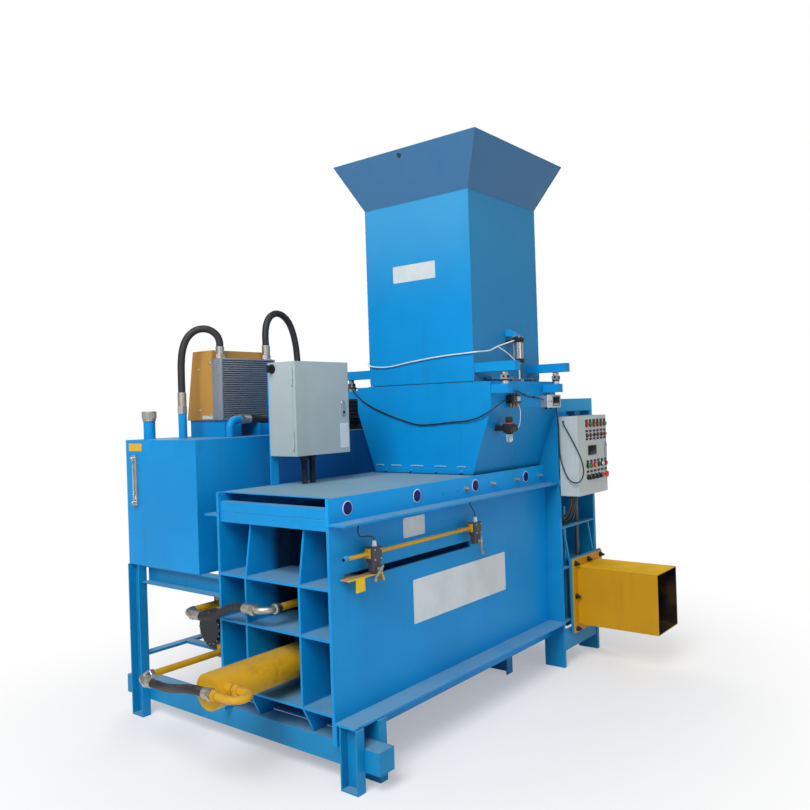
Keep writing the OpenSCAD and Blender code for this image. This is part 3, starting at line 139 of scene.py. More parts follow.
class Finish(Graph):
    """One procedural material on a Principled shader."""

    def __init__(self, name):
        self.mat = bpy.data.materials.new(name)
        self.mat.use_nodes = True
        super().__init__(self.mat.node_tree)
        self.shader = self.tree.nodes["Principled BSDF"]
        self.coords = self.tree.nodes.new("ShaderNodeTexCoord")

    def place(self, stretch=(1, 1, 1)):
        """Object place in metres, stretched along each axis."""
        spot = Wire(self, self.coords.outputs["Object"])
        if stretch == (1, 1, 1):
            return spot
        return self.node("VectorMath", {"operation": "MULTIPLY"}, {0: spot, 1: stretch})

    def noise(self, scale, detail=3.0, rough=0.55, stretch=(1, 1, 1)):
        return self.node("TexNoise", {}, {
            "Vector": self.place(stretch), "Scale": scale, "Detail": detail, "Roughness": rough})

    def mix(self, factor, a, b):
        """Colour a where the factor is 0, colour b where it is 1."""
        return self.node("Mix", {"data_type": "RGBA"}, {0: factor, 6: a, 7: b}, out=2)

    def axis(self, k):
        """How far along the frame's X, Y or Z (0, 1, 2), in metres."""
        return self.node("SeparateXYZ", {}, {0: self.place()}, out=k)

    def past(self, k, place, soft):
        """0 before a place on an axis, 1 past it, with a soft edge to each side."""
        return self.axis(k).clip(place - soft, place + soft)

    def within(self, k, low, high, soft):
        """1 between two places on an axis."""
        return self.past(k, low, soft) * (1 - self.past(k, high, soft))

    def facing(self):
        """The way the surface faces."""
        return self.node("NewGeometry", out=1)

    def facing_up(self):
        """1 on level tops, 0 on upright faces, -1 underneath."""
        return self.node("SeparateXYZ", {}, {0: self.facing()}, out=2)

    def soft_edge(self, radius):
        return self.node("Bevel", {"samples": 4}, {"Radius": radius})

    def edge_mask(self, rounded):
        """1 close to a hard edge, 0 on the flats."""
        same = self.node("VectorMath", {"operation": "DOT_PRODUCT"},
                         {0: rounded, 1: self.facing()}, out=1)
        return (1 - same).clip(0.01, 0.12)

    def bump(self, height, distance, strength=1.0, under=None):
        inputs = {"Height": height, "Distance": distance, "Strength": strength}
        if under is not None:
            inputs["Normal"] = under
        return self.node("Bump", {}, inputs)

    def set(self, **sockets):
        names = {"color": "Base Color", "rough": "Roughness", "metal": "Metallic", "normal": "Normal",
                 "clear": "Transmission Weight", "ior": "IOR", "specular": "Specular IOR Level"}
        for key, value in sockets.items():
            self.feed(self.shader.inputs[names[key]], value)
        return self.mat


# Near black for painted shade in recesses and for black conduits
SHADE_AND_BLACK = (0.0035, 0.006, 0.014)
PALE_DUST = (0.42, 0.40, 0.36)
BLUE_DUST = (0.175, 0.325, 0.43)


def shade(colour, factor, lift=0.0):
    """A colour made darker or paler."""
    return tuple(min(1, c * factor + lift) for c in colour)


def machine_paint(name, colour, dust=BLUE_DUST, dust_amount=0.75, wave=0.0, wear=0.35,
                  wear_colour=None, grime=0.25, rough=0.42, shade_and_black=None, other=(), stain=0.0, even=0.5):
    """Sprayed machine paint: uneven coat, dust on level faces, run-down grime, worn edges.

    The near-black mask gives places laid near black: painted shade in the end grid's bays, on its press
    plates and inside the chute, and the black of the conduits under the control box.
    other gives pairs of mask and colour, stain the amount of oily blots, even how evenly the dust lies."""
    f = Finish(name)
    tone = f.mix(f.noise(1.7, 4.0).clip(0.3, 0.72), shade(colour, 0.80), shade(colour, 1.10))
    tone = f.mix(0.5, tone, colour)
    for mask, second in other:
        tone = f.mix(mask(f), tone, second)
    runs = f.noise(9.0, 5.0, 0.6, (1, 1, 0.12))
    dirt = runs.clip(0.56, 0.80) * grime
    tone = f.mix(dirt, tone, shade(colour, 0.45, 0.004))
    up = f.facing_up().clip(0.55, 0.95)
    drift = even + f.noise(5.0, 6.0, 0.65).clip(0.26, 0.60) * (1 - even)
    settled = up * drift * dust_amount
    tone = f.mix(settled, tone, dust)
    specks = f.noise(70.0, 2.0, 0.5).clip(0.70, 0.78) * 0.18
    tone = f.mix(specks, tone, dust)
    rounded = f.soft_edge(0.0035)
    nicks = f.edge_mask(rounded) * f.noise(24.0, 3.0).clip(0.46, 0.62) * wear
    tone = f.mix(nicks, tone, wear_colour or shade(colour, 0.6, 0.18))
    if stain:
        blots = f.noise(7.0, 6.0, 0.7).clip(0.50, 0.68) * stain
        tone = f.mix(blots, tone, shade(colour, 0.38, 0.01))
    # Near black where the mask says: painted shade in recesses, and black conduits
    if shade_and_black:
        tone = f.mix(shade_and_black(f) * (0.72 + f.noise(6.0, 4.0) * 0.5), tone, SHADE_AND_BLACK)
    skin = f.bump(f.noise(420.0, 2.0), 0.00012, 0.35, rounded)
    if wave:
        dents = f.noise(2.3, 2.0) + f.noise(6.0, 2.0, 0.5, (0.5, 0.5, 2.2)) * 0.35
        skin = f.bump(dents, wave, 1.0, skin)
    sheen = rough + settled * 0.4 + dirt * 0.25 + (f.noise(14.0, 3.0) - 0.5) * 0.14
    return f.set(color=tone, rough=sheen, normal=skin, specular=0.22)


def plain_metal(name, colour, rough, brushed=(1, 1, 1), grime=0.3, metal=1.0):
    """Bare or plated metal with fine brushing and dull patches."""
    f = Finish(name)
    lines = f.noise(260.0, 3.0, 0.6, brushed)
    patches = f.noise(22.0, 5.0, 0.6)
    tone = f.mix(lines.clip(0.3, 0.7), shade(colour, 0.78), colour)
    tone = f.mix(patches.clip(0.55, 0.75) * grime, tone, shade(colour, 0.35))
    rounded = f.soft_edge(0.0012)
    skin = f.bump(lines, 0.0001, 0.3, rounded)
    return f.set(color=tone, rough=rough + patches * 0.22 + lines * 0.1, metal=metal, normal=skin)


def moulded(name, colour, rough=0.45, dust=0.25, grain=900.0, shine=0.5):
    """Moulded plastic or powder coat with a fine grain and settled dust."""
    f = Finish(name)
    tone = f.mix(f.noise(6.0, 3.0).clip(0.3, 0.7), shade(colour, 0.88), colour)
    up = f.facing_up().clip(0.4, 0.95) * f.noise(18.0, 5.0).clip(0.35, 0.65) * dust
    tone = f.mix(up, tone, PALE_DUST)
    grit = f.noise(grain, 2.0)
    skin = f.bump(grit, 0.00015, 0.4, f.soft_edge(0.0015))
    return f.set(color=tone, rough=rough + up * 0.3 + (grit - 0.5) * 0.1, normal=skin, specular=shine)


def hose_cover(name, pitch):
    """Black hose with a fine wrapped cover and dusty upper side."""
    f = Finish(name)
    wrap = f.node("TexWave", {"wave_type": "BANDS", "bands_direction": "DIAGONAL"},
                  {"Vector": f.place(), "Scale": pitch, "Distortion": 0.6, "Detail": 1.0})
    tone = f.mix(wrap * 0.5, (0.010, 0.010, 0.011), (0.028, 0.028, 0.030))
    up = f.facing_up().clip(0.3, 0.95) * f.noise(30.0, 4.0).clip(0.4, 0.7) * 0.35
    tone = f.mix(up, tone, (0.16, 0.15, 0.14))
    return f.set(color=tone, rough=0.5 + wrap * 0.12, normal=f.bump(wrap, 0.0006, 0.5))


def clear_glass(name, tint):
    """Glass with a few smears."""
    f = Finish(name)
    smear = f.noise(40.0, 3.0)
    return f.set(color=tint, rough=0.05 + smear * 0.12, clear=0.85, ior=1.45)


# Places in the frame's metres that part finishes on one node

def grid_bay_shade(f):
    """Painted shade in the end grid's bays, blacker towards their backs and lighter on level tops."""
    inside = f.within(1, -0.535, 0.195, 0.005) * (1 - f.past(2, 1.145, 0.005))
    return f.axis(0).clip(-0.875, -0.800) * inside * (1 - f.facing_up().clip(0.5, 0.9) * 0.75) * 0.94


def press_plate_shade(f):
    """Plates at the back of the end grid, painted near black as shade."""
    return (1 - f.past(0, -0.630, 0.010)) * 0.97


def chute_inside_shade(f):
    """Painted shade on the inner faces of the chute: within its walls and short of the flange's outer edge.
    """
    return f.within(0, 1.0993, 1.4093, 0.001) * f.within(2, 0.243, 0.599, 0.001)


BOX_FLOOR = 1.414


def box_post(f):
    """The post behind the control box and its foot below the box."""
    foot = (1 - f.past(2, BOX_FLOOR, 0.0005)) * (1 - f.past(0, -0.623, 0.001))
    return (f.past(1, 0.185, 0.0002) + foot).clip(0.0, 1.0)


def under_box(f):
    """Conduits and glands below the control box, without the post's foot."""
    return (1 - f.past(2, BOX_FLOOR, 0.0005)) * (1 - box_post(f))


def tank_shade(f):
    """Painted shade on the tank's front sheet where it stands close behind the press."""
    return f.axis(0).clip(-0.72, -0.40) * (1 - f.past(1, 0.378, 0.002)) * 0.75


def hopper_painted_sheen(f):
    """Upper half of the weigh hopper, painted paler in patches: a painted sheen."""
    return f.axis(2).clip(2.15, 2.85) * (0.55 + f.noise(3.0, 3.0, 0.5, (1, 1, 0.4)) * 0.6)


def hopper_front_shade(f):
    """Front sheet of the weigh hopper, painted darker than its left sheet: painted shade."""
    return (1 - f.past(1, -0.537, 0.0005)) * 0.75


def slope_shade(f):
    """Downward-facing sheets of the feed hopper, painted darker as shade."""
    return (0 - f.facing_up()).clip(0.10, 0.20) * 0.8


def top_strip(f):
    """Front side plate above the flange, painted lighter and bluer than the plate below."""
    return f.past(2, 1.140, 0.001) * (1 - f.past(1, -0.53375, 0.00025))


def block_top(f):
    """Upper part of the end block, painted lighter than its foot."""
    return f.axis(2).clip(1.45, 1.60)


def gate_cylinder(f):
    """The gate's cylinder, upright in the end block above the chute, blue like the block."""
    return f.past(2, 0.905, 0.005)


def flare_shade(f):
    """Flared top of the weigh hopper, painted darker: painted shade on its downward-facing panels."""
    return f.past(2, 2.855, 0.002)


def tab_of_arm(f):
    """Yellow tab at the trip arm's end."""
    return 1 - f.past(1, -0.599, 0.0005)


BLUE = (0.001, 0.262, 0.635)
blue = machine_paint("blue_paint", BLUE)
# The end grid's paint carries painted shade deep in its bays
blue_grid = machine_paint("blue_grid_paint", BLUE, shade_and_black=grid_bay_shade,
                          other=[(top_strip, (0.0, 0.32, 0.76))])
# The feed hopper's paint carries painted shade on its downward-facing sheets
blue_sheet = machine_paint("blue_sheet_paint", BLUE, wave=0.005, wear=0.25,
                           other=[(slope_shade, (0.001, 0.205, 0.490))])
# The weigh hopper's paint carries a painted sheen on its upper half and painted shade on its front sheet and
# flared top
blue_hopper = machine_paint("blue_hopper_paint", BLUE, wave=0.005, wear=0.25,
                            other=[(hopper_painted_sheen, (0.050, 0.305, 0.575)),
                                   (hopper_front_shade, (0.032, 0.215, 0.430)),
                                   (flare_shade, (0.050, 0.166, 0.328))])
blue_deck = machine_paint("blue_deck_paint", BLUE, dust=(0.215, 0.338, 0.39), dust_amount=0.95,
                          grime=0.15, even=0.75)
blue_base = machine_paint("blue_base_paint", (0.004, 0.235, 0.510), grime=0.4,
                          other=[(block_top, (0.012, 0.350, 0.690))])
# The tank's paint carries painted shade on its front sheet behind the press
blue_tank = machine_paint("blue_tank_paint", BLUE, other=[(tank_shade, (0.010, 0.080, 0.270))])
# Press plates at the back of the end grid: painted shade, near black
shaded_press_paint = machine_paint("press_plate_shade_paint", BLUE, shade_and_black=press_plate_shade, wear=0.1)
YELLOW = (0.60, 0.315, 0.004)
WORN_YELLOW = (0.20, 0.14, 0.07)
pipe_coat = dict(dust=(0.40, 0.28, 0.12), dust_amount=0.4, wear_colour=WORN_YELLOW, grime=0.4)
yellow = machine_paint("yellow_paint", YELLOW, **pipe_coat)
yellow_block = machine_paint("block_cylinder_paint", YELLOW, other=[(gate_cylinder, BLUE)], **pipe_coat)
yellow_oily = machine_paint("oily_yellow_paint", (0.60, 0.325, 0.012), dust=(0.42, 0.28, 0.08),
                            dust_amount=0.5, wear_colour=WORN_YELLOW, grime=0.5, stain=0.4)
# On the chute the colour laid on level tops and in specks is a bright yellow: a painted highlight, not dust;
# its inner faces carry painted shade, near black
yellow_chute = machine_paint("chute_paint", (0.54, 0.268, 0.004), dust=(0.86, 0.50, 0.01), dust_amount=0.8,
                             wear_colour=(0.16, 0.11, 0.06), grime=0.3, shade_and_black=chute_inside_shade)
tan_arm = machine_paint("tan_arm_paint", (0.46, 0.26, 0.10), dust=(0.40, 0.30, 0.18), dust_amount=0.5,
                        wear_colour=(0.12, 0.09, 0.06), grime=0.5, other=[(tab_of_arm, (0.80, 0.50, 0.01))])
orange = machine_paint("orange_paint", (0.48, 0.25, 0.058), dust=(0.46, 0.34, 0.20), dust_amount=0.5,
                       rough=0.45)
GREY = (0.38, 0.455, 0.475)
box_coat = dict(dust=(0.40, 0.40, 0.38), wear=0.1, grime=0.10, rough=0.5)
grey_coat = machine_paint("grey_powder_coat", GREY, dust_amount=0.4, **box_coat)
grey_box = machine_paint("grey_box_coat", GREY, dust_amount=0.3, other=[(box_post, BLUE)], shade_and_black=under_box,
                         **box_coat)
grey_panel = machine_paint("grey_panel_coat", (0.49, 0.545, 0.545), dust=(0.45, 0.45, 0.42), dust_amount=0.3,
                           wear=0.1, grime=0.08, rough=0.5)
steel = plain_metal("worn_steel", (0.42, 0.42, 0.42), 0.34)
zinc = plain_metal("zinc_plate", (0.58, 0.55, 0.49), 0.30)
chrome = plain_metal("rod_chrome", (0.72, 0.73, 0.75), 0.10, grime=0.1)
# A dark copy of the rod finish for the gate rod: grease, and painted shade of the end block's bay
shaded_rod = plain_metal("greased_rod_shade", (0.11, 0.14, 0.18), 0.42, grime=0.5)
alloy = plain_metal("cell_alloy", (0.62, 0.63, 0.64), 0.30)
bronze = plain_metal("silencer_bronze", (0.42, 0.25, 0.09), 0.42)
# Dark cast and painted parts, and painted shade in the flare's hanging hole
dark_cast_and_hole_shade = moulded("motor_paint_and_hole_shade", (0.020, 0.021, 0.024), 0.5, 0.4, 300.0)
fin_alloy = plain_metal("cooler_fins", (0.33, 0.36, 0.40), 0.45, (0.05, 1, 1), 0.4, 0.6)
frame_alloy = plain_metal("cooler_frame", (0.34, 0.38, 0.44), 0.40, (1, 1, 0.05), 0.3, 0.6)
black = moulded("black_plastic", (0.014, 0.014, 0.016), 0.42, 0.15, shine=0.3)
dark_case = moulded("switch_case", (0.045, 0.048, 0.055), 0.5, 0.35, 500.0)
pale_grey = moulded("pale_plastic", (0.56, 0.58, 0.58), 0.4, 0.2)
gland_white = moulded("gland_plastic", (0.55, 0.66, 0.72), 0.35, 0.1)
white_tube = moulded("white_tube", (0.75, 0.78, 0.80), 0.3, 0.1)
red = moulded("red_plastic", (0.56, 0.012, 0.014), 0.25, 0.1)
green = moulded("green_plastic", (0.008, 0.20, 0.06), 0.25, 0.1)
amber = moulded("amber_plastic", (0.72, 0.20, 0.01), 0.25, 0.1)
worn_weld = moulded("worn_weld_paint", (0.30, 0.55, 0.74), 0.45, 0.1)
sign_blue = moulded("sign_blue", (0.008, 0.010, 0.130), 0.35, 0.1, shine=0.2)
sign_white = moulded("sign_white", (0.70, 0.72, 0.74), 0.35, 0.1)
sign_yellow = moulded("sign_yellow", (0.72, 0.46, 0.01), 0.35, 0.1)
pale_plate = moulded("blank_plate", (0.63, 0.70, 0.73), 0.35, 0.1)
# Dark screens, and painted shade in the latch's keyway and the rail cap's bore
screen_and_opening_shade = moulded("dark_window_and_opening_shade", (0.008, 0.009, 0.011), 0.35, 0.0, shine=0.06)
hose_black = hose_cover("hose_cover", 90.0)
cable_black = moulded("cable_sheath", (0.012, 0.012, 0.013), 0.4, 0.15)
glass = clear_glass("gauge_glass", (0.80, 0.84, 0.82))

dressing = {
    blue: "chamber_plates side_rails ram weigh_brackets",
    blue_base: "legs cross_beams block_plates block_webs",
    blue_tank: "oil_tank",
    blue_grid: "side_plates end_ribs end_shelves",
    shaded_press_paint: "reaction_plates",
    blue_sheet: "feed_hopper",
    blue_hopper: "weigh_hopper",
    blue_deck: "top_cover",
    yellow: "rod_pipe valve_block",
    yellow_block: "block_cylinders",
    yellow_oily: "main_cylinder",
    yellow_chute: "chute",
    tan_arm: "trip_arm",
    orange: "cooler_shroud",
    grey_coat: "control_box_door",
    grey_panel: "panel_box panel_door",
    grey_box: "control_box",
    steel: "ejector_plate gate flap_front flap_rear limit_lever_left limit_lever_right",
    chrome: "ram_rod ejector_rod air_rod_front air_rod_rear",
    shaded_rod: "gate_rod",
    zinc: "hose_fittings filler_cap",
    alloy: "load_cells level_gauge",
    dark_cast_and_hole_shade: "pump_motor",
    fin_alloy: "cooler_core",
    black: "air_gear cooler_fan door_latch isolator_knob panel_controls limit_switches",
    red: "emergency_stop",
    green: "start_button",
}
for material, names in dressing.items():
    for name in names.split():
        node[name].data.materials.clear()
        node[name].data.materials.append(material)


# Cords

ROUTES = {
    "ram_hose": [
        (-421, 345.3, 480), (-421, 397.7, 480), (-415.9, 471.2, 469.2), (-400.8, 544.6, 451.2),
        (-378.6, 618, 431.4), (-354.3, 686.2, 412.5), (-332.1, 754.3, 396.3), (-320, 817.3, 390),
        (-320, 869.7, 390)],
    "rod_hose": [
        (-45, 520.3, 730), (-45, 559.8, 730), (-45, 612.5, 720.2), (-45, 678.4, 692.3), (-45, 744.3, 661.1),
        (-45, 806.9, 648), (-45, 849.7, 648)],
    "cooler_hose_left": [
        (182, 1258, 1770.3), (182, 1258, 1860), (184, 1257, 1940), (192, 1251, 2010), (212, 1236, 2070),
        (246, 1209, 2110), (286, 1178, 2120), (320, 1152, 2105), (342, 1135, 2075), (350, 1130, 2043),
        (350, 1130, 2020.3)],
    "cooler_hose_right": [
        (690, 1130, 2040.3), (690, 1130, 2110), (702, 1130, 2170), (734, 1130, 2216), (784, 1130, 2236),
        (838, 1130, 2224), (884, 1130, 2184), (916, 1130, 2120), (936, 1130, 2040), (946, 1130, 1940),
        (950, 1130, 1840), (950, 1130, 1740), (950, 1130, 1660.3)],
    "return_hose": [
        (450.3, 1016, 1612), (491.9, 1016, 1612), (545.5, 1016, 1606.4), (599, 1016, 1604),
        (652.5, 1016, 1606.4), (706.1, 1016, 1612), (747.7, 1016, 1612)],
    "sensor_cable": [
        (1221.7, 950, 1800), (1208, 950, 1800), (1197, 930, 1786), (1194, 890, 1752), (1194, 830, 1700),
        (1194, 760, 1660), (1194, 693, 1632), (1194, 600, 1598), (1194, 502, 1568), (1194, 430, 1550),
        (1194, 370, 1543), (1194, 290, 1546), (1194, 210, 1552), (1194, 140, 1557), (1190, 60, 1562),
        (1188, -10, 1576), (1189, -70, 1600), (1195, -104, 1620), (1217, -122, 1638), (1255, -125, 1654),
        (1310, -118, 1668), (1345, -115, 1672), (1361.7, -115, 1672)],
    "air_tube": [
        (1555.7, 828, 2015), (1538, 828, 2015), (1400, 802, 1987), (1310, 788, 1962), (1240, 782, 1940),
        (1204, 778, 1920), (1198, 745, 1904), (1199, 690, 1896), (1199, 616, 1894), (1199, 550, 1900),
        (1199, 477, 1910), (1199, 370, 1921), (1199, 258, 1931), (1199, 150, 1937), (1199, 60, 1940),
        (1199, 8, 1942), (1222, -10, 1945), (1290, -10, 1950), (1350, -14, 1958), (1420, -24, 1983),
        (1538, -48, 2015), (1555.7, -48, 2015)],
    "panel_cable": [
        (1916, -120, 1621.7), (1916, -120, 1604), (1920, -122, 1570), (1926, -124, 1520), (1930, -124, 1460),
        (1930, -124, 1390), (1930, -128, 1320), (1930, -142, 1260), (1930, -166, 1200), (1930, -196, 1165),
        (1930, -232, 1156), (1930, -262, 1172), (1930, -278, 1206), (1930, -280, 1250), (1930, -264, 1310),
        (1930, -236, 1370), (1930, -204, 1430), (1930, -176, 1480), (1931, -158, 1510), (1938, -148, 1528),
        (1954.7, -148, 1528)],
}


def smooth_route(points, steps=5):
    """Points along a Catmull-Rom curve through the route."""
    p = [points[0] * 2 - points[1]] + points + [points[-1] * 2 - points[-2]]
    line = []
    for a, b, c, d in zip(p, p[1:], p[2:], p[3:]):
        for k in range(steps):
            t = k / steps
            line.append(0.5 * (2 * b + (c - a) * t + (2 * a - 5 * b + 4 * c - d) * t * t
                               + (3 * b - a - 3 * c + d) * t ** 3))
    line.append(points[-1])
    return line


def lay_cord(name, radius, material):
    """A cord along its route in place of the CAD one, fixed to the machine at both ends."""
    line = smooth_route([at(*p) for p in ROUTES[name]])
    curve = bpy.data.curves.new(name + "_run", "CURVE")
    curve.dimensions = "3D"
    curve.bevel_depth = radius
    curve.bevel_resolution = 4
    curve.use_fill_caps = True
    spline = curve.splines.new("POLY")
    spline.points.add(len(line) - 1)
    for point, spot in zip(spline.points, line):
        point.co = (*spot, 1)
    piece = put(name + "_run", curve)
    curve.materials.append(material)
    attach(piece, "frame")
    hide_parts(name)


HOSE_RADIUS, CABLE_RADIUS = 0.020, 0.004
# Lengths of the sleeves at each hose's ends, and the gap in millimetres between sleeve and hose
SLEEVES = {"ram_hose": (55, 55), "rod_hose": (80, 75), "cooler_hose_left": (117, 68),
           "cooler_hose_right": (88, 73), "return_hose": (70, 70)}
HOSE_GAP = 0.3
for hose in SLEEVES:
    lay_cord(hose, HOSE_RADIUS, hose_black)
for cable in ("sensor_cable", "panel_cable"):
    lay_cord(cable, CABLE_RADIUS, cable_black)
lay_cord("air_tube", CABLE_RADIUS, white_tube)


# Stock for small pieces

RIGHT, AWAY, UP = (1, 0, 0), (0, 1, 0), (0, 0, 1)
LEFT, FRONT, DOWN = (-1, 0, 0), (0, -1, 0), (0, 0, -1)
SHARP_ANGLE = math.radians(38)
HEX_CORNER = 0.577

# The weigh hopper's sheets and its flared top
HOPPER_ENDS, HOPPER_SIDES = (1208, 1952), (12, 768)
FLARE_FOOT, FLARE_HIGH = 2855, 276
FLARE_X, FLARE_Y = 123, 137


def circle(count, r, start=0.0):
    """Offsets evenly spaced round a circle."""
    turns = [2 * math.pi * k / count + start for k in range(count)]
    return [(r * math.cos(turn), r * math.sin(turn)) for turn in turns]


class Piece:
    """A mesh put together from turned, bent and flat stock, each bit with its own finish (millimetres)."""

    def __init__(self, name):
        self.name = name
        self.bm = bmesh.new()
        self.finishes = []

    def paint(self, faces, material):
        if material not in self.finishes:
            self.finishes.append(material)
        for face in faces:
            face.material_index = self.finishes.index(material)

    def skin(self, rings, material, ends=True):
        """Quads between rings of points; a ring of one point closes to a tip."""
        rows = [[self.bm.verts.new(v) for v in ring] for ring in rings]
        faces = []
        for a, b in zip(rows, rows[1:]):
            count = max(len(a), len(b))
            for k in range(count):
                after = (k + 1) % count
                corners = [a[k % len(a)], a[after % len(a)], b[after % len(b)], b[k % len(b)]]
                faces.append(self.bm.faces.new(list(dict.fromkeys(corners))))
        if ends:
            faces += [self.bm.faces.new(row) for row in (rows[0][::-1], rows[-1]) if len(row) > 2]
        self.paint(faces, material)

    def turned(self, start, axis, profile, material, sides=24, twist=0.0):
        """A lathe form: pairs of distance along the axis and radius."""
        axis = Vector(axis).normalized()
        side = axis.orthogonal().normalized()
        over = axis.cross(side)
        rings = []
        for along, r in profile:
            middle = at(*start) + axis * along / 1000
            spots = circle(sides if r > 0 else 1, r / 1000, twist)
            rings.append([middle + side * a + over * b for a, b in spots])
        self.skin(rings, material)

    def bent(self, points, r, material, sides=12):
        """A round bar or tube through points, its ends closed."""
        line = [at(*p) for p in points]
        if len(line) > 2:
            line = smooth_route(line, 6)
        side = (line[1] - line[0]).orthogonal().normalized()
        rings = []
        for k, spot in enumerate(line):
            way = (line[min(k + 1, len(line) - 1)] - line[max(k - 1, 0)]).normalized()
            side = (side - way * side.dot(way)).normalized()
            over = way.cross(side)
            rings.append([spot + side * a + over * b for a, b in circle(sides, r / 1000)])
        self.skin(rings, material)

    def plate(self, low, high, material, ease=1.0):
        """A block with eased edges."""
        a, b = at(*low), at(*high)
        verts = bmesh.ops.create_cube(self.bm, size=1.0)["verts"]
        for v in verts:
            v.co = Vector([(a[k] + b[k]) / 2 + v.co[k] * (b[k] - a[k]) for k in range(3)])
        self.paint({f for v in verts for f in v.link_faces}, material)
        edges = list(dict.fromkeys(e for v in verts for e in v.link_edges))
        bmesh.ops.bevel(self.bm, geom=edges, offset=ease / 1000, segments=2, profile=0.5,
                        affect="EDGES", material=-1)

    def slab(self, outline, depth, material, ease=0.0):
        """A flat outline of points pushed along a depth, with a drawn-in front edge where ease is given."""
        base = [at(*p) for p in outline]
        push = Vector(depth) / 1000
        middle = sum(base, Vector()) / len(base)
        rings = [base, [v + push for v in base]]
        if ease:
            share = 1 - ease / 1000 / push.length
            drawn_in = [v + push - (v - middle).normalized() * ease / 1000 for v in base]
            rings = [base, [v + push * share for v in base], drawn_in]
        self.skin(rings, material)

    def bolt(self, spot, axis, across, material, washer=True, stud=0.0):
        """Hex head on a washer, with a chamfered crown and the end of its stud."""
        r = across * HEX_CORNER
        seat = Vector(spot)
        if washer:
            rim, thick = r * 1.30, across * 0.14
            self.turned(spot, axis, [(0, rim), (across * 0.10, rim), (thick, r * 1.18)], material, 20)
            seat += Vector(axis).normalized() * thick
        high = across * 0.62
        twist = spot[0] * 0.37 % 1.0
        self.turned(seat, axis, [(0, r), (high * 0.82, r), (high, r * 0.80)], material, 6, twist)
        if stud:
            end = [(high, r * 0.56), (high + stud * 0.8, r * 0.56), (high + stud, r * 0.42)]
            self.turned(seat, axis, end, material, 12)

    def done(self, body="frame", stands_for=()):
        mesh = bpy.data.meshes.new(self.name)
        bmesh.ops.recalc_face_normals(self.bm, faces=self.bm.faces[:])
        self.bm.to_mesh(mesh)
        self.bm.free()
        for face in mesh.polygons:
            face.use_smooth = True
        mesh.set_sharp_from_angle(angle=SHARP_ANGLE)
        for material in self.finishes:
            mesh.materials.append(material)
        thing = put(self.name, mesh)
        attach(thing, body)
        if stands_for:
            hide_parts(*stands_for)


def built(body="frame", stands_for=()):
    """Gives a new piece to the function below, which names and fills it, and puts it in the scene."""
    def run(fill):
        piece = Piece(fill.__name__)
        fill(piece)
        piece.done(body, stands_for)
        return fill
    return run


# Bolts

@built()
def chute_bolts(piece):
    for x, z in [(2098, 627), (2280, 627), (2462, 627), (2097, 421), (2463, 421), (2098, 217), (2280, 217),
                 (2462, 217)]:
        piece.bolt((x, -124, z), FRONT, 24, black, stud=12)


@built()
def strip_bolts(piece):
    """Studs through the front and rear top strips, and two plugs."""
    for x in (1067, 1341, 1607, 1883):
        for y, way in ((0, FRONT), (760, AWAY)):
            piece.bolt((x, y, 1201), way, 20, frame_alloy, stud=11)
    for x in (993, 856):
        piece.turned((x, 0, 1196), FRONT, [(0, 6), (2, 6), (3, 4)], blue, 16)


@built()
def cylinder_bolts(piece):
    """Flange bolts of the main cylinder and of the ejector's cylinder."""
    for dy, dz in circle(10, 98, math.pi / 10):
        piece.bolt((275, 380 + dy, 460 + dz), LEFT, 20, dark_cast_and_hole_shade, stud=8)
    for dx, dz in circle(8, 68):
        piece.bolt((2280 + dx, 882, 427 + dz), AWAY, 18, dark_cast_and_hole_shade, stud=6)


@built()
def hopper_foot_strip(piece):
    """Bolted angle along the foot of the feed hopper, with worn stitch welds above it."""
    x = 1197
    piece.slab([(x, 40, 1262), (x, 740, 1262), (x, 740, 1292), (x, 40, 1292)], (6, 0, 0), blue_sheet)
    for y in (110, 285, 470, 655):
        piece.bolt((x, y, 1274), LEFT, 13, blue, stud=5)
    for y0, y1 in [(80, 140), (215, 300), (380, 470), (540, 620), (675, 735)]:
        piece.bent([(1201, y0, 1303), (1200.4, (y0 + y1) / 2, 1305), (1201, y1, 1303)], 3.2, worn_weld, 8)


# Blank plates where the machine carries labels

PLATE_THICK = 1.6
RIVET = [(0, 4), (1, 3.6), (1.8, 2.2), (2.1, 0)]


def label_plate(name, corner, size, facing, material, rivets=0, body="frame"):
    """A thin plate with round corners on a front or left face, with rivets that far in from its edges."""
    piece = Piece(name)
    out = Vector(facing)
    along = Vector(RIGHT if facing == FRONT else FRONT)

    def spot(x, z):
        return Vector(corner) + along * x + Vector(UP) * z

    w, h = size
    r = 5 if min(size) > 60 else 3
    outline = []
    for x, z, start in [(w - r, h - r, 0), (r, h - r, 90), (r, r, 180), (w - r, r, 270)]:
        for step in range(5):
            turn = math.radians(start + step * 22.5)
            outline.append(spot(x + r * math.cos(turn), z + r * math.sin(turn)))
    piece.slab(outline, out * PLATE_THICK, material, 0.5)
    if rivets:
        for x, z in product((rivets, w - rivets), (rivets, h - rivets)):
            piece.turned(spot(x, z) + out * 1.5, facing, RIVET, alloy, 12)
    piece.done(body)


label_plate("side_plate_label", (585, 0, 580), (865, 217), FRONT, pale_plate, 14)
label_plate("switch_plate_label", (520, 0, 1012), (174, 98), FRONT, pale_plate, 8)
label_plate("hopper_label", (1208, 563, 2388), (309, 99), LEFT, pale_plate, 9)
label_plate("tank_label", (10, 1515, 1456), (120, 42), LEFT, sign_yellow)
label_plate("box_door_plate", (672, 535, 1440), (66, 135), FRONT, pale_plate, body="control_box_door")
label_plate("cooler_label", (320, 1262, 1618), (88, 20), LEFT, pale_grey)


@built()
def strip_discs(piece):
    """Blank round signs along the front top strip."""
    for x in (126, 639, 1168, 1722):
        piece.turned((x, 0, 1207), FRONT, [(0, 33), (1.0, 33), (1.4, 32.4)], sign_white, 40)
        piece.turned((x, -1.3, 1207), FRONT, [(0, 29), (0.8, 29), (1.1, 28.6)], sign_blue, 40)


# Operator panel

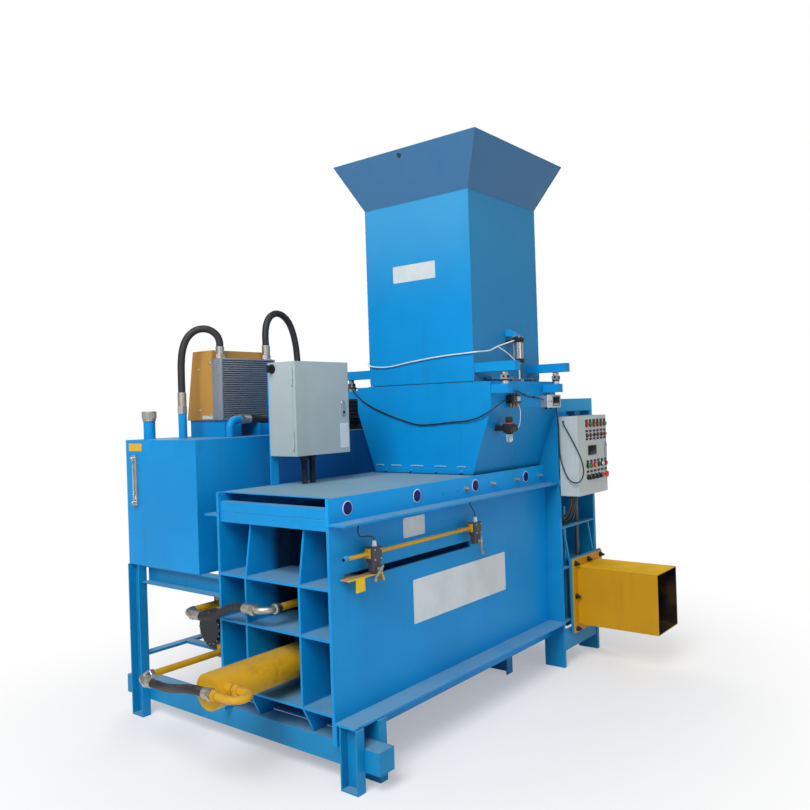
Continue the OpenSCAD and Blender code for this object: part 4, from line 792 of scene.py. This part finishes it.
PANEL_FACE = -237.5
PANEL_COLUMNS = [2081 + 52 * k for k in range(6)]
LEGEND_ROWS = (1529, 1464, 1414, 1276, 1212)
LAMP_ROW, SMALL_ROW, BUTTON_ROW, SELECTOR_ROW = 1505, 1438, 1250, 1178
BUTTON_LENSES = (red, amber, dark_case, gland_white, red)


@built("panel_door", ("panel_controls",))
def panel_face(piece):
    """Buttons, lamps, selectors and display on the operator panel's door."""
    face = PANEL_FACE

    def on_face(x, z, proud, profile, material, sides=28):
        piece.turned((x, face - proud, z), FRONT, profile, material, sides)

    def raised(x0, x1, z0, z1, back, front, material, ease):
        piece.plate((x0, face - front, z0), (x1, face - back, z1), material, ease)

    def button(x, z, r, lens):
        on_face(x, z, 0, [(0, r + 6), (4, r + 6), (6, r + 4), (6, r + 1)], black)
        on_face(x, z, 4, [(0, r), (8, r), (10, r * 0.86), (11, r * 0.45), (11.2, 0)], lens)

    def selector(x, z):
        on_face(x, z, 0, [(0, 18), (5, 18), (7, 15.5), (7, 0)], black)
        on_face(x, z, 6, [(0, 12), (6, 12), (8, 10), (8, 0)], black, 24)
        raised(x - 4.5, x + 4.5, z - 15, z + 15, 9, 24, black, 2.0)
        raised(x - 1, x + 1, z + 4, z + 13, 23.5, 25, sign_white, 0.3)

    for k, x in enumerate(PANEL_COLUMNS):
        odd = k % 2 == 1
        button(x, LAMP_ROW, 12, green if odd else red)
        button(x, SMALL_ROW, 8, red if odd else dark_case)
        for z in LEGEND_ROWS:
            raised(x - 17, x + 17, z - 7, z + 7, 0, 2, black, 0.6)
    for x, lens in zip(PANEL_COLUMNS[1:], BUTTON_LENSES):
        button(x, BUTTON_ROW, 12, lens)
    for x in PANEL_COLUMNS[:4]:
        selector(x, SELECTOR_ROW)
    button(PANEL_COLUMNS[4], SELECTOR_ROW, 9, red)
    on_face(PANEL_COLUMNS[5], SELECTOR_ROW, 0, [(0, 24), (0.8, 24), (1.2, 22), (1.2, 12)], sign_yellow, 32)
    on_face(PANEL_COLUMNS[0], BUTTON_ROW, 0, [(0, 19), (5, 19), (7, 16), (7, 11)], black)
    # Display in its raised frame
    raised(2091, 2207, 1313, 1373, 0, 5, black, 2.0)
    raised(2099, 2199, 1321, 1365, 4, 7.5, screen_and_opening_shade, 1.0)
    for x in (2110, 2138, 2166):
        raised(x, x + 16, 1325, 1332, 7, 8.5, dark_case, 0.5)
    # Swing handle with its keyhole
    raised(2332, 2352, 1290, 1386, 0, 9, frame_alloy, 3.0)
    on_face(2342, 1366, 8, [(0, 7), (2.5, 7), (3, 6), (3, 0)], black, 20)


@built("emergency_stop", ("emergency_stop",))
def stop_mushroom(piece):
    """Mushroom stop button on its stem."""
    head = [(6.5, 15), (9, 19.2), (12.5, 20), (15.5, 18.5), (17.3, 14), (18, 7), (18, 0)]
    piece.turned((2337, -239.5, SELECTOR_ROW), FRONT, [(-16, 10), (6, 10)] + head, red, 36)


@built("start_button", ("start_button",))
def start_dome(piece):
    """Domed start button on its stem."""
    head = [(6.5, 12.6), (13, 13), (16, 11.5), (17.5, 8), (18, 0)]
    piece.turned((2081, -239.5, BUTTON_ROW), FRONT, [(-16, 10), (6, 10)] + head, green, 32)


# Control box fittings

def oval(x, z, y, half, r, steps=12):
    """Upright oval outline on a plane of constant Y."""
    outline = []
    for side in (1, -1):
        for k in range(steps + 1):
            turn = math.pi * k / steps
            outline.append((x + side * r * math.cos(turn), y, z + side * (half + r * math.sin(turn))))
    return outline


@built("door_latch", ("door_latch",))
def box_latch(piece):
    """Oval latch of the control box's door with its lock."""
    x = 697
    piece.slab(oval(x, 1654, 534.7, 31, 13), (0, -4, 0), chrome, 1.5)
    piece.slab(oval(x, 1654, 531, 27, 8), (0, -4, 0), frame_alloy, 2.0)
    piece.turned((x, 530, 1634), FRONT, [(-2, 8), (0, 8), (4.5, 8), (5.5, 7), (5.5, 3.4)], black, 24)
    # Keyway: a dark slot, painted shade of the opening
    piece.plate((x - 1.5, 523.4, 1629), (x + 1.5, 527, 1639), screen_and_opening_shade, 0.4)
    piece.turned((x, 530, 1653), FRONT, [(-18, 8), (0, 8), (2, 6), (2.4, 0)], chrome, 20)


@built()
def box_glands(piece):
    """Ribbed gland nuts and conduit rings under the control box."""
    y = 635.5
    for x in (490, 550):
        piece.turned((x, y, 1415), DOWN, [(0, 24), (12, 24), (14, 22.5)], black, 6)
        piece.turned((x, y, 1400), DOWN, [(0, 21), (14, 21), (18, 17)], black, 18)
        for k in range(17):
            ring = [(-2, 15.2), (-1, 16.8), (1, 16.8), (2, 15.2)]
            piece.turned((x, y, 1380 - 7 * k), DOWN, ring, black, 18)


# Limit switches

RAIL_Y, RAIL_Z = -45, 993
LEFT_LEAD = [(0, 0, 0), (-6, 0, 20), (-42, 4, 28), (-82, 6, 32), (-96, 8, 48), (-92, 12, 72), (-80, 14, 92.5)]
RIGHT_LEAD = [(0, 0, 0), (-2, 2, 24), (-12, 6, 46), (-24, 10, 66), (-26, 14, 80), (-26, 14, 92.5)]


def limit_switch(piece, x, lead):
    """Clamp, case with its cover screws, gland, lead and lever hub of a limit switch."""
    mid = x + 32
    piece.plate((x - 6, -60, 972), (x + 8, -31, 1016), yellow, 2.0)
    piece.plate((x, -74, 955), (x + 64, -33, 1025), dark_case, 3.5)
    piece.plate((x + 5, -77, 962), (x + 59, -73, 1018), dark_case, 2.0)
    piece.plate((x + 6, -70, 908), (x + 58, -37, 957), dark_case, 3.0)
    piece.turned((mid, -76.5, 990), FRONT, [(0, 17), (1.2, 16), (1.2, 13), (0.4, 12)], dark_case, 28)
    for screw, z in product((x + 11, x + 53), (968, 1012)):
        piece.turned((screw, -76.6, z), FRONT, [(0, 4), (1.4, 4), (2.0, 3)], zinc, 12)
    piece.turned((mid, -55, 1025), UP, [(0, 13), (6, 13), (7, 11.5)], gland_white, 6)
    piece.turned((mid, -55, 1031), UP, [(0, 10.5), (14, 10.5), (18, 8), (20, 4)], gland_white, 18)
    piece.bent([(mid + dx, -55 + dy, 1047 + dz) for dx, dy, dz in lead], 3, cable_black, 10)
    piece.turned((x + 40, -66, 922), FRONT, [(0, 9), (6, 9), (8, 7), (8, 5), (22, 5), (22.6, 4.4)], zinc, 18)


@built(stands_for=("limit_switches",))
def limit_gear(piece):
    """Rail with its end cap and clamps, and the two switches."""
    end_cap = [(0, 9), (0, 12.5), (4, 13.5), (24, 13.5), (27, 10), (27, 5)]
    piece.turned((66, RAIL_Y, RAIL_Z), RIGHT, [(0, 9), (2, 9.4), (970, 9.4), (974, 8)], yellow, 20)
    piece.turned((40, RAIL_Y, RAIL_Z), RIGHT, end_cap, blue, 20)
    # Dark disc in the end cap: painted shade of its bore
    piece.turned((39.5, RAIL_Y, RAIL_Z), RIGHT, [(0, 8.6), (1, 8.6)], screen_and_opening_shade, 20)
    for x in (222, 980):
        piece.plate((x, RAIL_Y, RAIL_Z - 6), (x + 24, 0, RAIL_Z + 6), yellow, 1.5)
    limit_switch(piece, 205, LEFT_LEAD)
    limit_switch(piece, 1040, RIGHT_LEAD)


# Air gear

def air_cylinder(piece, y, wall):
    """An air cylinder beside the hopper's sheet: end caps, tie rods, gland, hanging ears and ports."""
    x, x0, x1 = 1582, 1556, 1608
    out = -1 if y < wall else 1
    for z0, z1 in ((1887, 1913), (2007, 2037)):
        piece.plate((x0, y - 24, z0), (x1, y + 24, z1), black, 3.0)
    piece.turned((x, y, 1912), UP, [(0, 20.5), (0.5, 21), (95.5, 21), (96, 20.5)], chrome, 32)
    for rod_x, rod_y in product((1562, 1602), (y - 18, y + 18)):
        piece.turned((rod_x, rod_y, 1913), UP, [(0, 3), (94, 3)], zinc, 10)
        piece.bolt((rod_x, rod_y, 2037), UP, 8, zinc, washer=False)
    y0, y1 = sorted((y - out * 20, wall))
    piece.plate((x0, y0, 2013), (x1, y1, 2025), black, 1.5)
    piece.turned((x, y, 1888), DOWN, [(0, 16), (6, 16), (8, 13), (8, 8.5)], zinc, 24)
    for ear in (1561, 1595):
        outline = [(ear, wall, 2048), (ear, y, 2040), (ear, y, 2058), (ear, wall, 2096)]
        piece.slab(outline, (8, 0, 0), blue)
    piece.turned((1554, y - out * 6, 2048), RIGHT, [(0, 6), (1, 7), (55, 7), (56, 6)], zinc, 14)
    piece.turned((x, y + out * 24, 2022), (0, out, 0), [(0, 7), (6, 7), (7, 5), (14, 5), (15, 3)], black, 16)
    piece.turned((x0, y - out * 11, 2015), LEFT, [(0, 7), (5, 7), (6, 5.5), (6, 4.2)], black, 14)


def air_valve(piece):
    """Valve body, its coil, end plugs and bronze silencers."""
    silencer = [(0, 9.5), (5, 9.5), (6, 8.4), (18, 8.4), (22, 5), (22, 0)]
    piece.plate((1362, -135, 1652), (1462, -95, 1700), black, 3.0)
    piece.plate((1374, -141, 1660), (1408, -133, 1692), dark_case, 2.0)
    piece.plate((1418, -139, 1664), (1452, -133, 1690), pale_grey, 1.5)
    for x in (1378, 1412, 1446):
        piece.turned((x, -115, 1652), DOWN, silencer, bronze, 16)
        piece.turned((x, -115, 1700), UP, [(0, 7), (6, 7), (8, 5)], black, 14)


def filter_regulator(piece):
    """Regulator with its grip, bowl and gauge, on a wedge against the leaning sheet."""
    back = -112.3
    x, y = 1320, back - 25
    knob = [(0, 18), (3, 18), (4, 19), (28, 19), (33, 17), (35, 12), (35, 0)]
    wedge = [(1300, back, 1500), (1300, -45.4, 1500), (1300, -56.1, 1530), (1300, back, 1530)]
    piece.slab(wedge, (40, 0, 0), black)
    piece.plate((1290, back - 50, 1490), (1350, back, 1540), black, 4.0)
    piece.turned((x, y, 1540), UP, [(0, 20.5), (5, 20.5), (6, 19)], red, 28)
    piece.turned((x, y, 1545), UP, knob, black, 28)
    for dx, dy in circle(14, 19):
        piece.turned((x + dx, y + dy, 1551), UP, [(0, 1.4), (20, 1.4), (22, 0.6)], black, 6)
    piece.turned((x, y, 1490), DOWN, [(0, 20), (8, 20), (9, 18.6)], black, 28)
    piece.turned((x, y, 1482), DOWN, [(0, 18), (34, 18), (44, 14), (49, 7), (49, 0)], glass, 28)
    piece.turned((x, y, 1434), DOWN, [(-2, 5), (2, 5)], black, 12)
    # Gauge with its dial, pointer and neck
    x, z = 1370, 1515
    piece.turned((x, back - 10, z), FRONT, [(0, 19), (24, 19), (29, 20), (30, 18.5), (29, 17.5)], black, 28)
    piece.turned((x, back - 36, z), FRONT, [(0, 17.6), (1.2, 17.6), (1.4, 17)], sign_white, 28)
    piece.plate((x - 1, back - 39, z - 2), (x + 1, back - 37, z + 12), black, 0.3)
    piece.plate((1345, back - 32, z - 7), (1362, back - 18, z + 7), black, 2.0)


@built(stands_for=("air_gear",))
def air_gear_set(piece):
    """Two air cylinders, the valve with its silencers, and the filter regulator."""
    air_cylinder(piece, -59, HOPPER_SIDES[0])
    air_cylinder(piece, 839, HOPPER_SIDES[1])
    air_valve(piece)
    filter_regulator(piece)


@built()
def air_lines(piece):
    """Fixed tubes from the tube's branch to the front cylinder's foot and from regulator to valve."""
    piece.bent([(1408, -27, 1979), (1470, -48, 1945), (1520, -57, 1914), (1540, -59, 1902),
                (1557, -59, 1900)], 3, white_tube, 10)
    piece.bent([(1398, -146, 1516), (1412, -146, 1522), (1436, -142, 1560), (1452, -134, 1610),
                (1452, -124, 1640), (1448, -117, 1650)], 2, white_tube, 10)


@built()
def valve_cable(piece):
    """Lead from the valve to the weighing display, clipped along the rim."""
    piece.bent([(1446, -115, 1707), (1450, -113, 1718), (1480, -106, 1722), (1540, -99, 1706),
                (1610, -98.5, 1690), (1690, -98.5, 1684), (1740, -104, 1676), (1759, -118, 1668)],
               3, cable_black, 10)
    for x, z in ((1560, 1701), (1680, 1684.6)):
        piece.plate((x - 6, -103, z - 5), (x + 6, -95, z + 5), black, 1.0)


# Weighing gear

@built()
def weigh_gear(piece):
    """Nuts and cheeks on the load cells and the face of the weighing display."""
    for x, y in product((1236, 1826), (-170, 950)):
        piece.turned((x, y, 1812), UP, [(0, 17), (2, 18.4), (15, 18.4), (17, 17)], zinc, 6)
        piece.turned((x, y, 1786), DOWN, [(0, 22), (9, 22), (10, 20.5)], dark_cast_and_hole_shade, 24)
        for cheek in (y - 23, y + 20):
            piece.plate((x - 10, cheek, 1790), (x + 10, cheek + 3, 1806), dark_cast_and_hole_shade, 0.8)
        piece.turned((x - 14, y, 1800), LEFT, [(0, 7), (0.1, 7)], dark_cast_and_hole_shade, 12)
    piece.plate((1758, -147, 1618), (1926, -141, 1696), pale_grey, 2.5)
    piece.plate((1820, -149.5, 1628), (1908, -146, 1686), dark_case, 1.5)
    piece.plate((1828, -150.5, 1648), (1900, -148.5, 1680), screen_and_opening_shade, 0.8)
    for x in (1830, 1848, 1866, 1884):
        piece.plate((x, -150.8, 1633), (x + 12, -149, 1641), pale_grey, 0.6)
    for x in (1770, 1806):
        piece.turned((x, -147, 1656), FRONT, [(0, 5), (1.2, 5), (1.6, 4)], dark_case, 14)
    for x in (1790, 1850):
        piece.turned((x, -118, 1622), DOWN, [(0, 9), (8, 9), (12, 6), (12, 4)], black, 14)


# Power pack

@built()
def gauge_face(piece):
    """Glass of the level gauge with its white back and end screws."""
    piece.plate((3.2, 1445.5, 1196), (3.9, 1460.5, 1399), sign_white, 0.3)
    piece.plate((-9, 1444.5, 1195), (3.1, 1461.5, 1400), glass, 2.0)
    for z in (1177, 1418):
        piece.bolt((-14, 1453, z), LEFT, 15, zinc, washer=False)
        piece.turned((-14, 1453, z), LEFT, [(0, 12), (2, 12), (2.6, 11)], zinc, 24)


@built(stands_for=("cooler_core",))
def cooler_dress(piece):
    """Oil cooler: core, side frames, rows of fins, port bosses and the shroud's screws."""
    left, right = 330, 705
    front, back = 1083, 1165
    piece.plate((left, 1102, 1615), (right, back, 1950), fin_alloy, 1.0)
    for x in (left - 13, right):
        piece.plate((x, front, 1610), (x + 13, back, 1954), frame_alloy, 2.5)
    for z in (1610, 1944):
        piece.plate((left, front, z), (right, back, z + 10), frame_alloy, 1.5)
    for k in range(26):
        z = 1623 + 12.4 * k
        piece.plate((left, front + 2, z), (right, 1103, z + 6.4), fin_alloy, 0.8)
    for x in (350, 690):
        piece.turned((x, 1130, 1953), UP, [(0, 34), (5, 34), (7, 31)], zinc, 28)
    for y, z in ((1283, 1900), (1283, 1666), (1190, 1930), (1190, 1640)):
        for x, way in ((320, LEFT), (715, RIGHT)):
            piece.turned((x, y, z), way, [(0, 8), (1.5, 8), (4, 6), (5, 0)], zinc, 18)


FAN_X, FAN_Z = 517.5, 1782


def shroud_rear(dx, dz, out):
    """A place on the shroud's leaning rear sheet: offsets from the fan's middle and how far off the sheet."""
    z = FAN_Z + dz
    return FAN_X + dx, 1400 - 66 * (z - 1612) / 390 + out, z


@built()
def shroud_mouth(piece):
    """Sheet with a round mouth that covers the square opening behind the fan."""
    inner, outer = 0.3, 2.3
    hole = circle(48, 155)
    square = [(172 * dx / max(abs(dx), abs(dz)), 172 * dz / max(abs(dx), abs(dz))) for dx, dz in hole]
    rings = []
    for ring, out in ((hole, inner), (square, inner), (square, outer), (hole, outer), (hole, inner)):
        rings.append([at(*shroud_rear(dx, dz, out)) for dx, dz in ring])
    piece.skin(rings, orange, ends=False)


@built()
def fan_guard(piece):
    """Wire guard over the fan's mouth at the back of the shroud."""
    for r in (40, 70, 100, 130, 160):
        loop = circle(36, r)
        piece.bent([shroud_rear(dx, dz, 5) for dx, dz in loop + loop[:1]], 2.2, black, 6)
    for dx, dz in circle(8, 166)[:4]:
        piece.bent([shroud_rear(-dx, -dz, 7), shroud_rear(dx, dz, 7)], 2.6, black, 8)


@built()
def hose_crimps(piece):
    """Crimp ridges and collars on the sleeves at both ends of each hose."""
    for hose, lengths in SLEEVES.items():
        route = [Vector(p) for p in ROUTES[hose]]
        for tip, inner, length in zip((route[0], route[-1]), (route[1], route[-2]), lengths):
            way = (inner - tip).normalized()
            root = tip - way * (length + HOSE_GAP)
            first = length * 0.35 + 4
            count = max(3, int((length - first) / 9))
            step = (length - first - 3) / count
            flat = step * 0.6
            ridge = [(0, 22.8), (1, 24.2), (flat, 24.2), (flat + 1, 22.8)]
            for k in range(count):
                piece.turned(root + way * (first + step * k), way, ridge, zinc, 28)
            piece.turned(root + way * length, way, [(-2, 23.4), (0, 23.4), (1, 21.2)], zinc, 28)


@built()
def tank_hatch(piece):
    """Round inspection cover on the oil tank."""
    x, y, top = 1130, 1330, 1517
    cover = [(0, 150), (10, 150), (13, 147), (13, 40), (17, 36), (17, 0)]
    piece.turned((x, y, top), UP, cover, blue, 48)
    for dx, dy in circle(10, 132):
        piece.bolt((x + dx, y + dy, top + 13), UP, 16, zinc, stud=4)


@built()
def motor_dress(piece):
    """Cowl slots and terminal boxes of the motors."""
    for dy, dz in circle(16, 84):
        y, z = 1120 + dy, 485 + dz
        piece.plate((209, y - 4, z - 4), (212.5, y + 4, z + 4), steel, 1.0)
    piece.plate((361, 1176, 621), (499, 1274, 630), dark_cast_and_hole_shade, 2.5)
    for x, y in product((372, 488), (1188, 1262)):
        piece.bolt((x, y, 630), UP, 8, zinc, washer=False)
    # Terminal box and cowl of the motor on the tank
    cowl = [(0, 93), (30, 93), (34, 88), (34, 40), (36, 36), (36, 0)]
    piece.plate((1242, 1012, 1718), (1352, 1118, 1790), dark_cast_and_hole_shade, 4.0)
    piece.plate((1238, 1008, 1778), (1356, 1122, 1786), dark_cast_and_hole_shade, 2.0)
    piece.turned((1420, 1065, 1639), RIGHT, cowl, dark_cast_and_hole_shade, 36)


# Fixed wiring

@built()
def panel_wiring(piece):
    """Sheathed wires from the panel's floor into the end block's bay."""
    for k, (x, sway) in enumerate([(1990, 0), (2016, 12), (2040, -8), (2062, 6)]):
        piece.turned((x, -160, 1070), DOWN, [(0, 12), (12, 12), (15, 9), (22, 9)], black, 16)
        route = [(x, -160, 1050), (x, -158, 1010), (x + sway, -132, 960 - 12 * k),
                 (x + 2 * sway, -92, 920 - 10 * k), (x - 10 + sway, -60, 915 - 9 * k),
                 (x - 24, -30, 935 - 8 * k)]
        piece.bent(route, 8 if k % 2 == 0 else 6, cable_black, 10)


# End grid and pipes

SHELF_THICK = 12
SHELVES = (306, 630, 853)
GRID_WALLS = (192, 204, 556, 568, 16, 744)


@built()
def grid_foot(piece):
    """Rib feet and the dark bottom plate between the lowest shelf and the cross beam."""
    for y in (191.4, 555.4):
        piece.slab([(4, y, 306), (299, y, 306), (299, y, 188), (66, y, 188)], (0, 13.2, 0), blue_grid)
    piece.plate((150, 17, 187), (299, 743, 195), blue_grid, 1.0)


@built()
def pipe_nuts(piece):
    """Hex nuts and collars on the hydraulic pipes by the cylinder."""
    nut = [(0, 23), (3, 26.5), (24, 26.5), (27, 23)]
    piece.turned((-421, 262, 480), AWAY, nut, yellow_oily, 6)
    piece.turned((-325, 236, 480), AWAY, nut, yellow_oily, 6)
    piece.turned((-262, 985, 390), RIGHT, nut, zinc, 6)
    piece.turned((14, 380, 730), RIGHT, [(0, 22), (2, 25), (12, 25), (14, 22)], zinc, 24)
    piece.turned((30, 380, 730), RIGHT, [(0, 20), (2, 23), (20, 23), (22, 20)], dark_cast_and_hole_shade, 6)


# Seams

def seam(piece, a, b, r, material, lumps):
    """A laid weld: a bead with a slow ripple between two points."""
    run = Vector(b) - Vector(a)
    count = max(4, int(run.length / lumps))
    bead = []
    for k in range(count + 1):
        swell = 1 + 0.16 * math.sin(k * 2.4) + 0.10 * math.sin(k * 5.1)
        bead.append((k * run.length / count, r * swell))
    piece.turned(a, run, bead, material, 8)


@built()
def grid_seams(piece):
    """Fillet welds where shelves, ribs and side plates meet in the end grid."""
    for shelf, y, level in product(SHELVES, GRID_WALLS, (0, SHELF_THICK)):
        seam(piece, (4, y, shelf + level), (296, y, shelf + level), 2.6, blue_grid, 9)


@built()
def hopper_seams(piece):
    """Corner welds of the weigh hopper and of its flared top."""
    for i, k in product((0, 1), (0, 1)):
        x, y = HOPPER_ENDS[i], HOPPER_SIDES[k]
        rim = (x + (-FLARE_X, FLARE_X)[i], y + (-FLARE_Y, FLARE_Y)[k], 3129)
        seam(piece, (x, y, 1800), (x, y, FLARE_FOOT - 2), 2.4, blue_hopper, 14)
        seam(piece, (x, y, FLARE_FOOT + 2), rim, 2.4, blue_hopper, 14)
    for x in HOPPER_ENDS:
        seam(piece, *((x, y, FLARE_FOOT) for y in HOPPER_SIDES), 2.2, blue_hopper, 14)
    for y in HOPPER_SIDES:
        seam(piece, *((x, y, FLARE_FOOT) for x in HOPPER_ENDS), 2.2, blue_hopper, 14)


@built()
def flare_hole(piece):
    """Rimmed hanging hole in the left panel of the flared top: a dark rimmed disc, painted shade of the hole.
    """
    share_up = 0.885
    spot = (HOPPER_ENDS[0] - FLARE_X * share_up, 405, FLARE_FOOT + FLARE_HIGH * share_up)
    rim = [(0, 14), (1.2, 14), (1.6, 13.2), (1.6, 11), (0.8, 10.6), (0.8, 0)]
    piece.turned(spot, (-FLARE_HIGH, 0, -FLARE_X), rim, dark_cast_and_hole_shade, 28)


# Floor and light

CAMERA_RAY, GLOSSY_RAY, THROUGH_RAY = 0, 3, 6


def lay_floor():
    """Pale floor that keeps the shadow close by and runs out to white."""
    half = 40
    ground = bpy.data.meshes.new("floor")
    ground.from_pydata([(-half, -half, 0), (half, -half, 0), (half, half, 0), (-half, half, 0)], [],
                       [(0, 1, 2, 3)])
    floor = put("floor", ground)
    f = Finish("pale_floor")
    f.set(color=f.mix(f.noise(3.0, 4.0), (0.86, 0.86, 0.86), (0.90, 0.90, 0.90)), rough=0.9)
    reach = f.place((0.62, 0.85, 1))
    far = f.node("VectorMath", {"operation": "LENGTH"}, {0: reach}, out=1).clip(0.9, 2.3)
    camera, glossy, through = (f.node("LightPath", out=k) for k in (CAMERA_RAY, GLOSSY_RAY, THROUGH_RAY))
    seen = camera + glossy + through > 0.5
    white = f.node("Emission", {}, {"Color": (1.0, 1.0, 1.0), "Strength": 1.0})
    lit = Wire(f, f.shader.outputs[0])
    both = f.node("MixShader", {}, {0: (far * 0.65 + 0.35) * seen, 1: lit, 2: white})
    f.feed(f.tree.nodes["Material Output"].inputs[0], both)
    ground.materials.append(f.mat)


def light_world(fill, seen):
    """White surroundings: one strength for light on the machine, one where they are looked at."""
    world = bpy.data.worlds.new("studio")
    bpy.context.scene.world = world
    world.use_nodes = True
    sky = world.node_tree.nodes["Background"]
    g = Graph(world.node_tree)
    camera, through = (g.node("LightPath", out=k) for k in (CAMERA_RAY, THROUGH_RAY))
    straight = g.node("Math", {"operation": "MAXIMUM"}, {0: camera, 1: through})
    g.feed(sky.inputs["Strength"], g.node("MapRange", {}, {0: straight, 3: fill, 4: seen}))
    g.feed(sky.inputs["Color"], (1.0, 1.0, 1.0))


def lamp(name, spot, target, power, size=5.0):
    data = bpy.data.lights.new(name, "AREA")
    data.size = size
    data.energy = power
    thing = put(name, data)
    thing.location = spot
    thing.rotation_euler = (Vector(target) - Vector(spot)).to_track_quat("-Z", "Y").to_euler()


lay_floor()
light_world(0.27, 1.0)
lamp("key", (-6.5, -2.5, 7.0), (0, 0, 1.3), 760)
lamp("front", (1.0, -8.0, 3.5), (0, 0, 1.3), 90)
lamp("back", (5.0, 6.0, 5.0), (0, 0, 1.0), 260)
bpy.context.scene.view_settings.view_transform = "Standard"
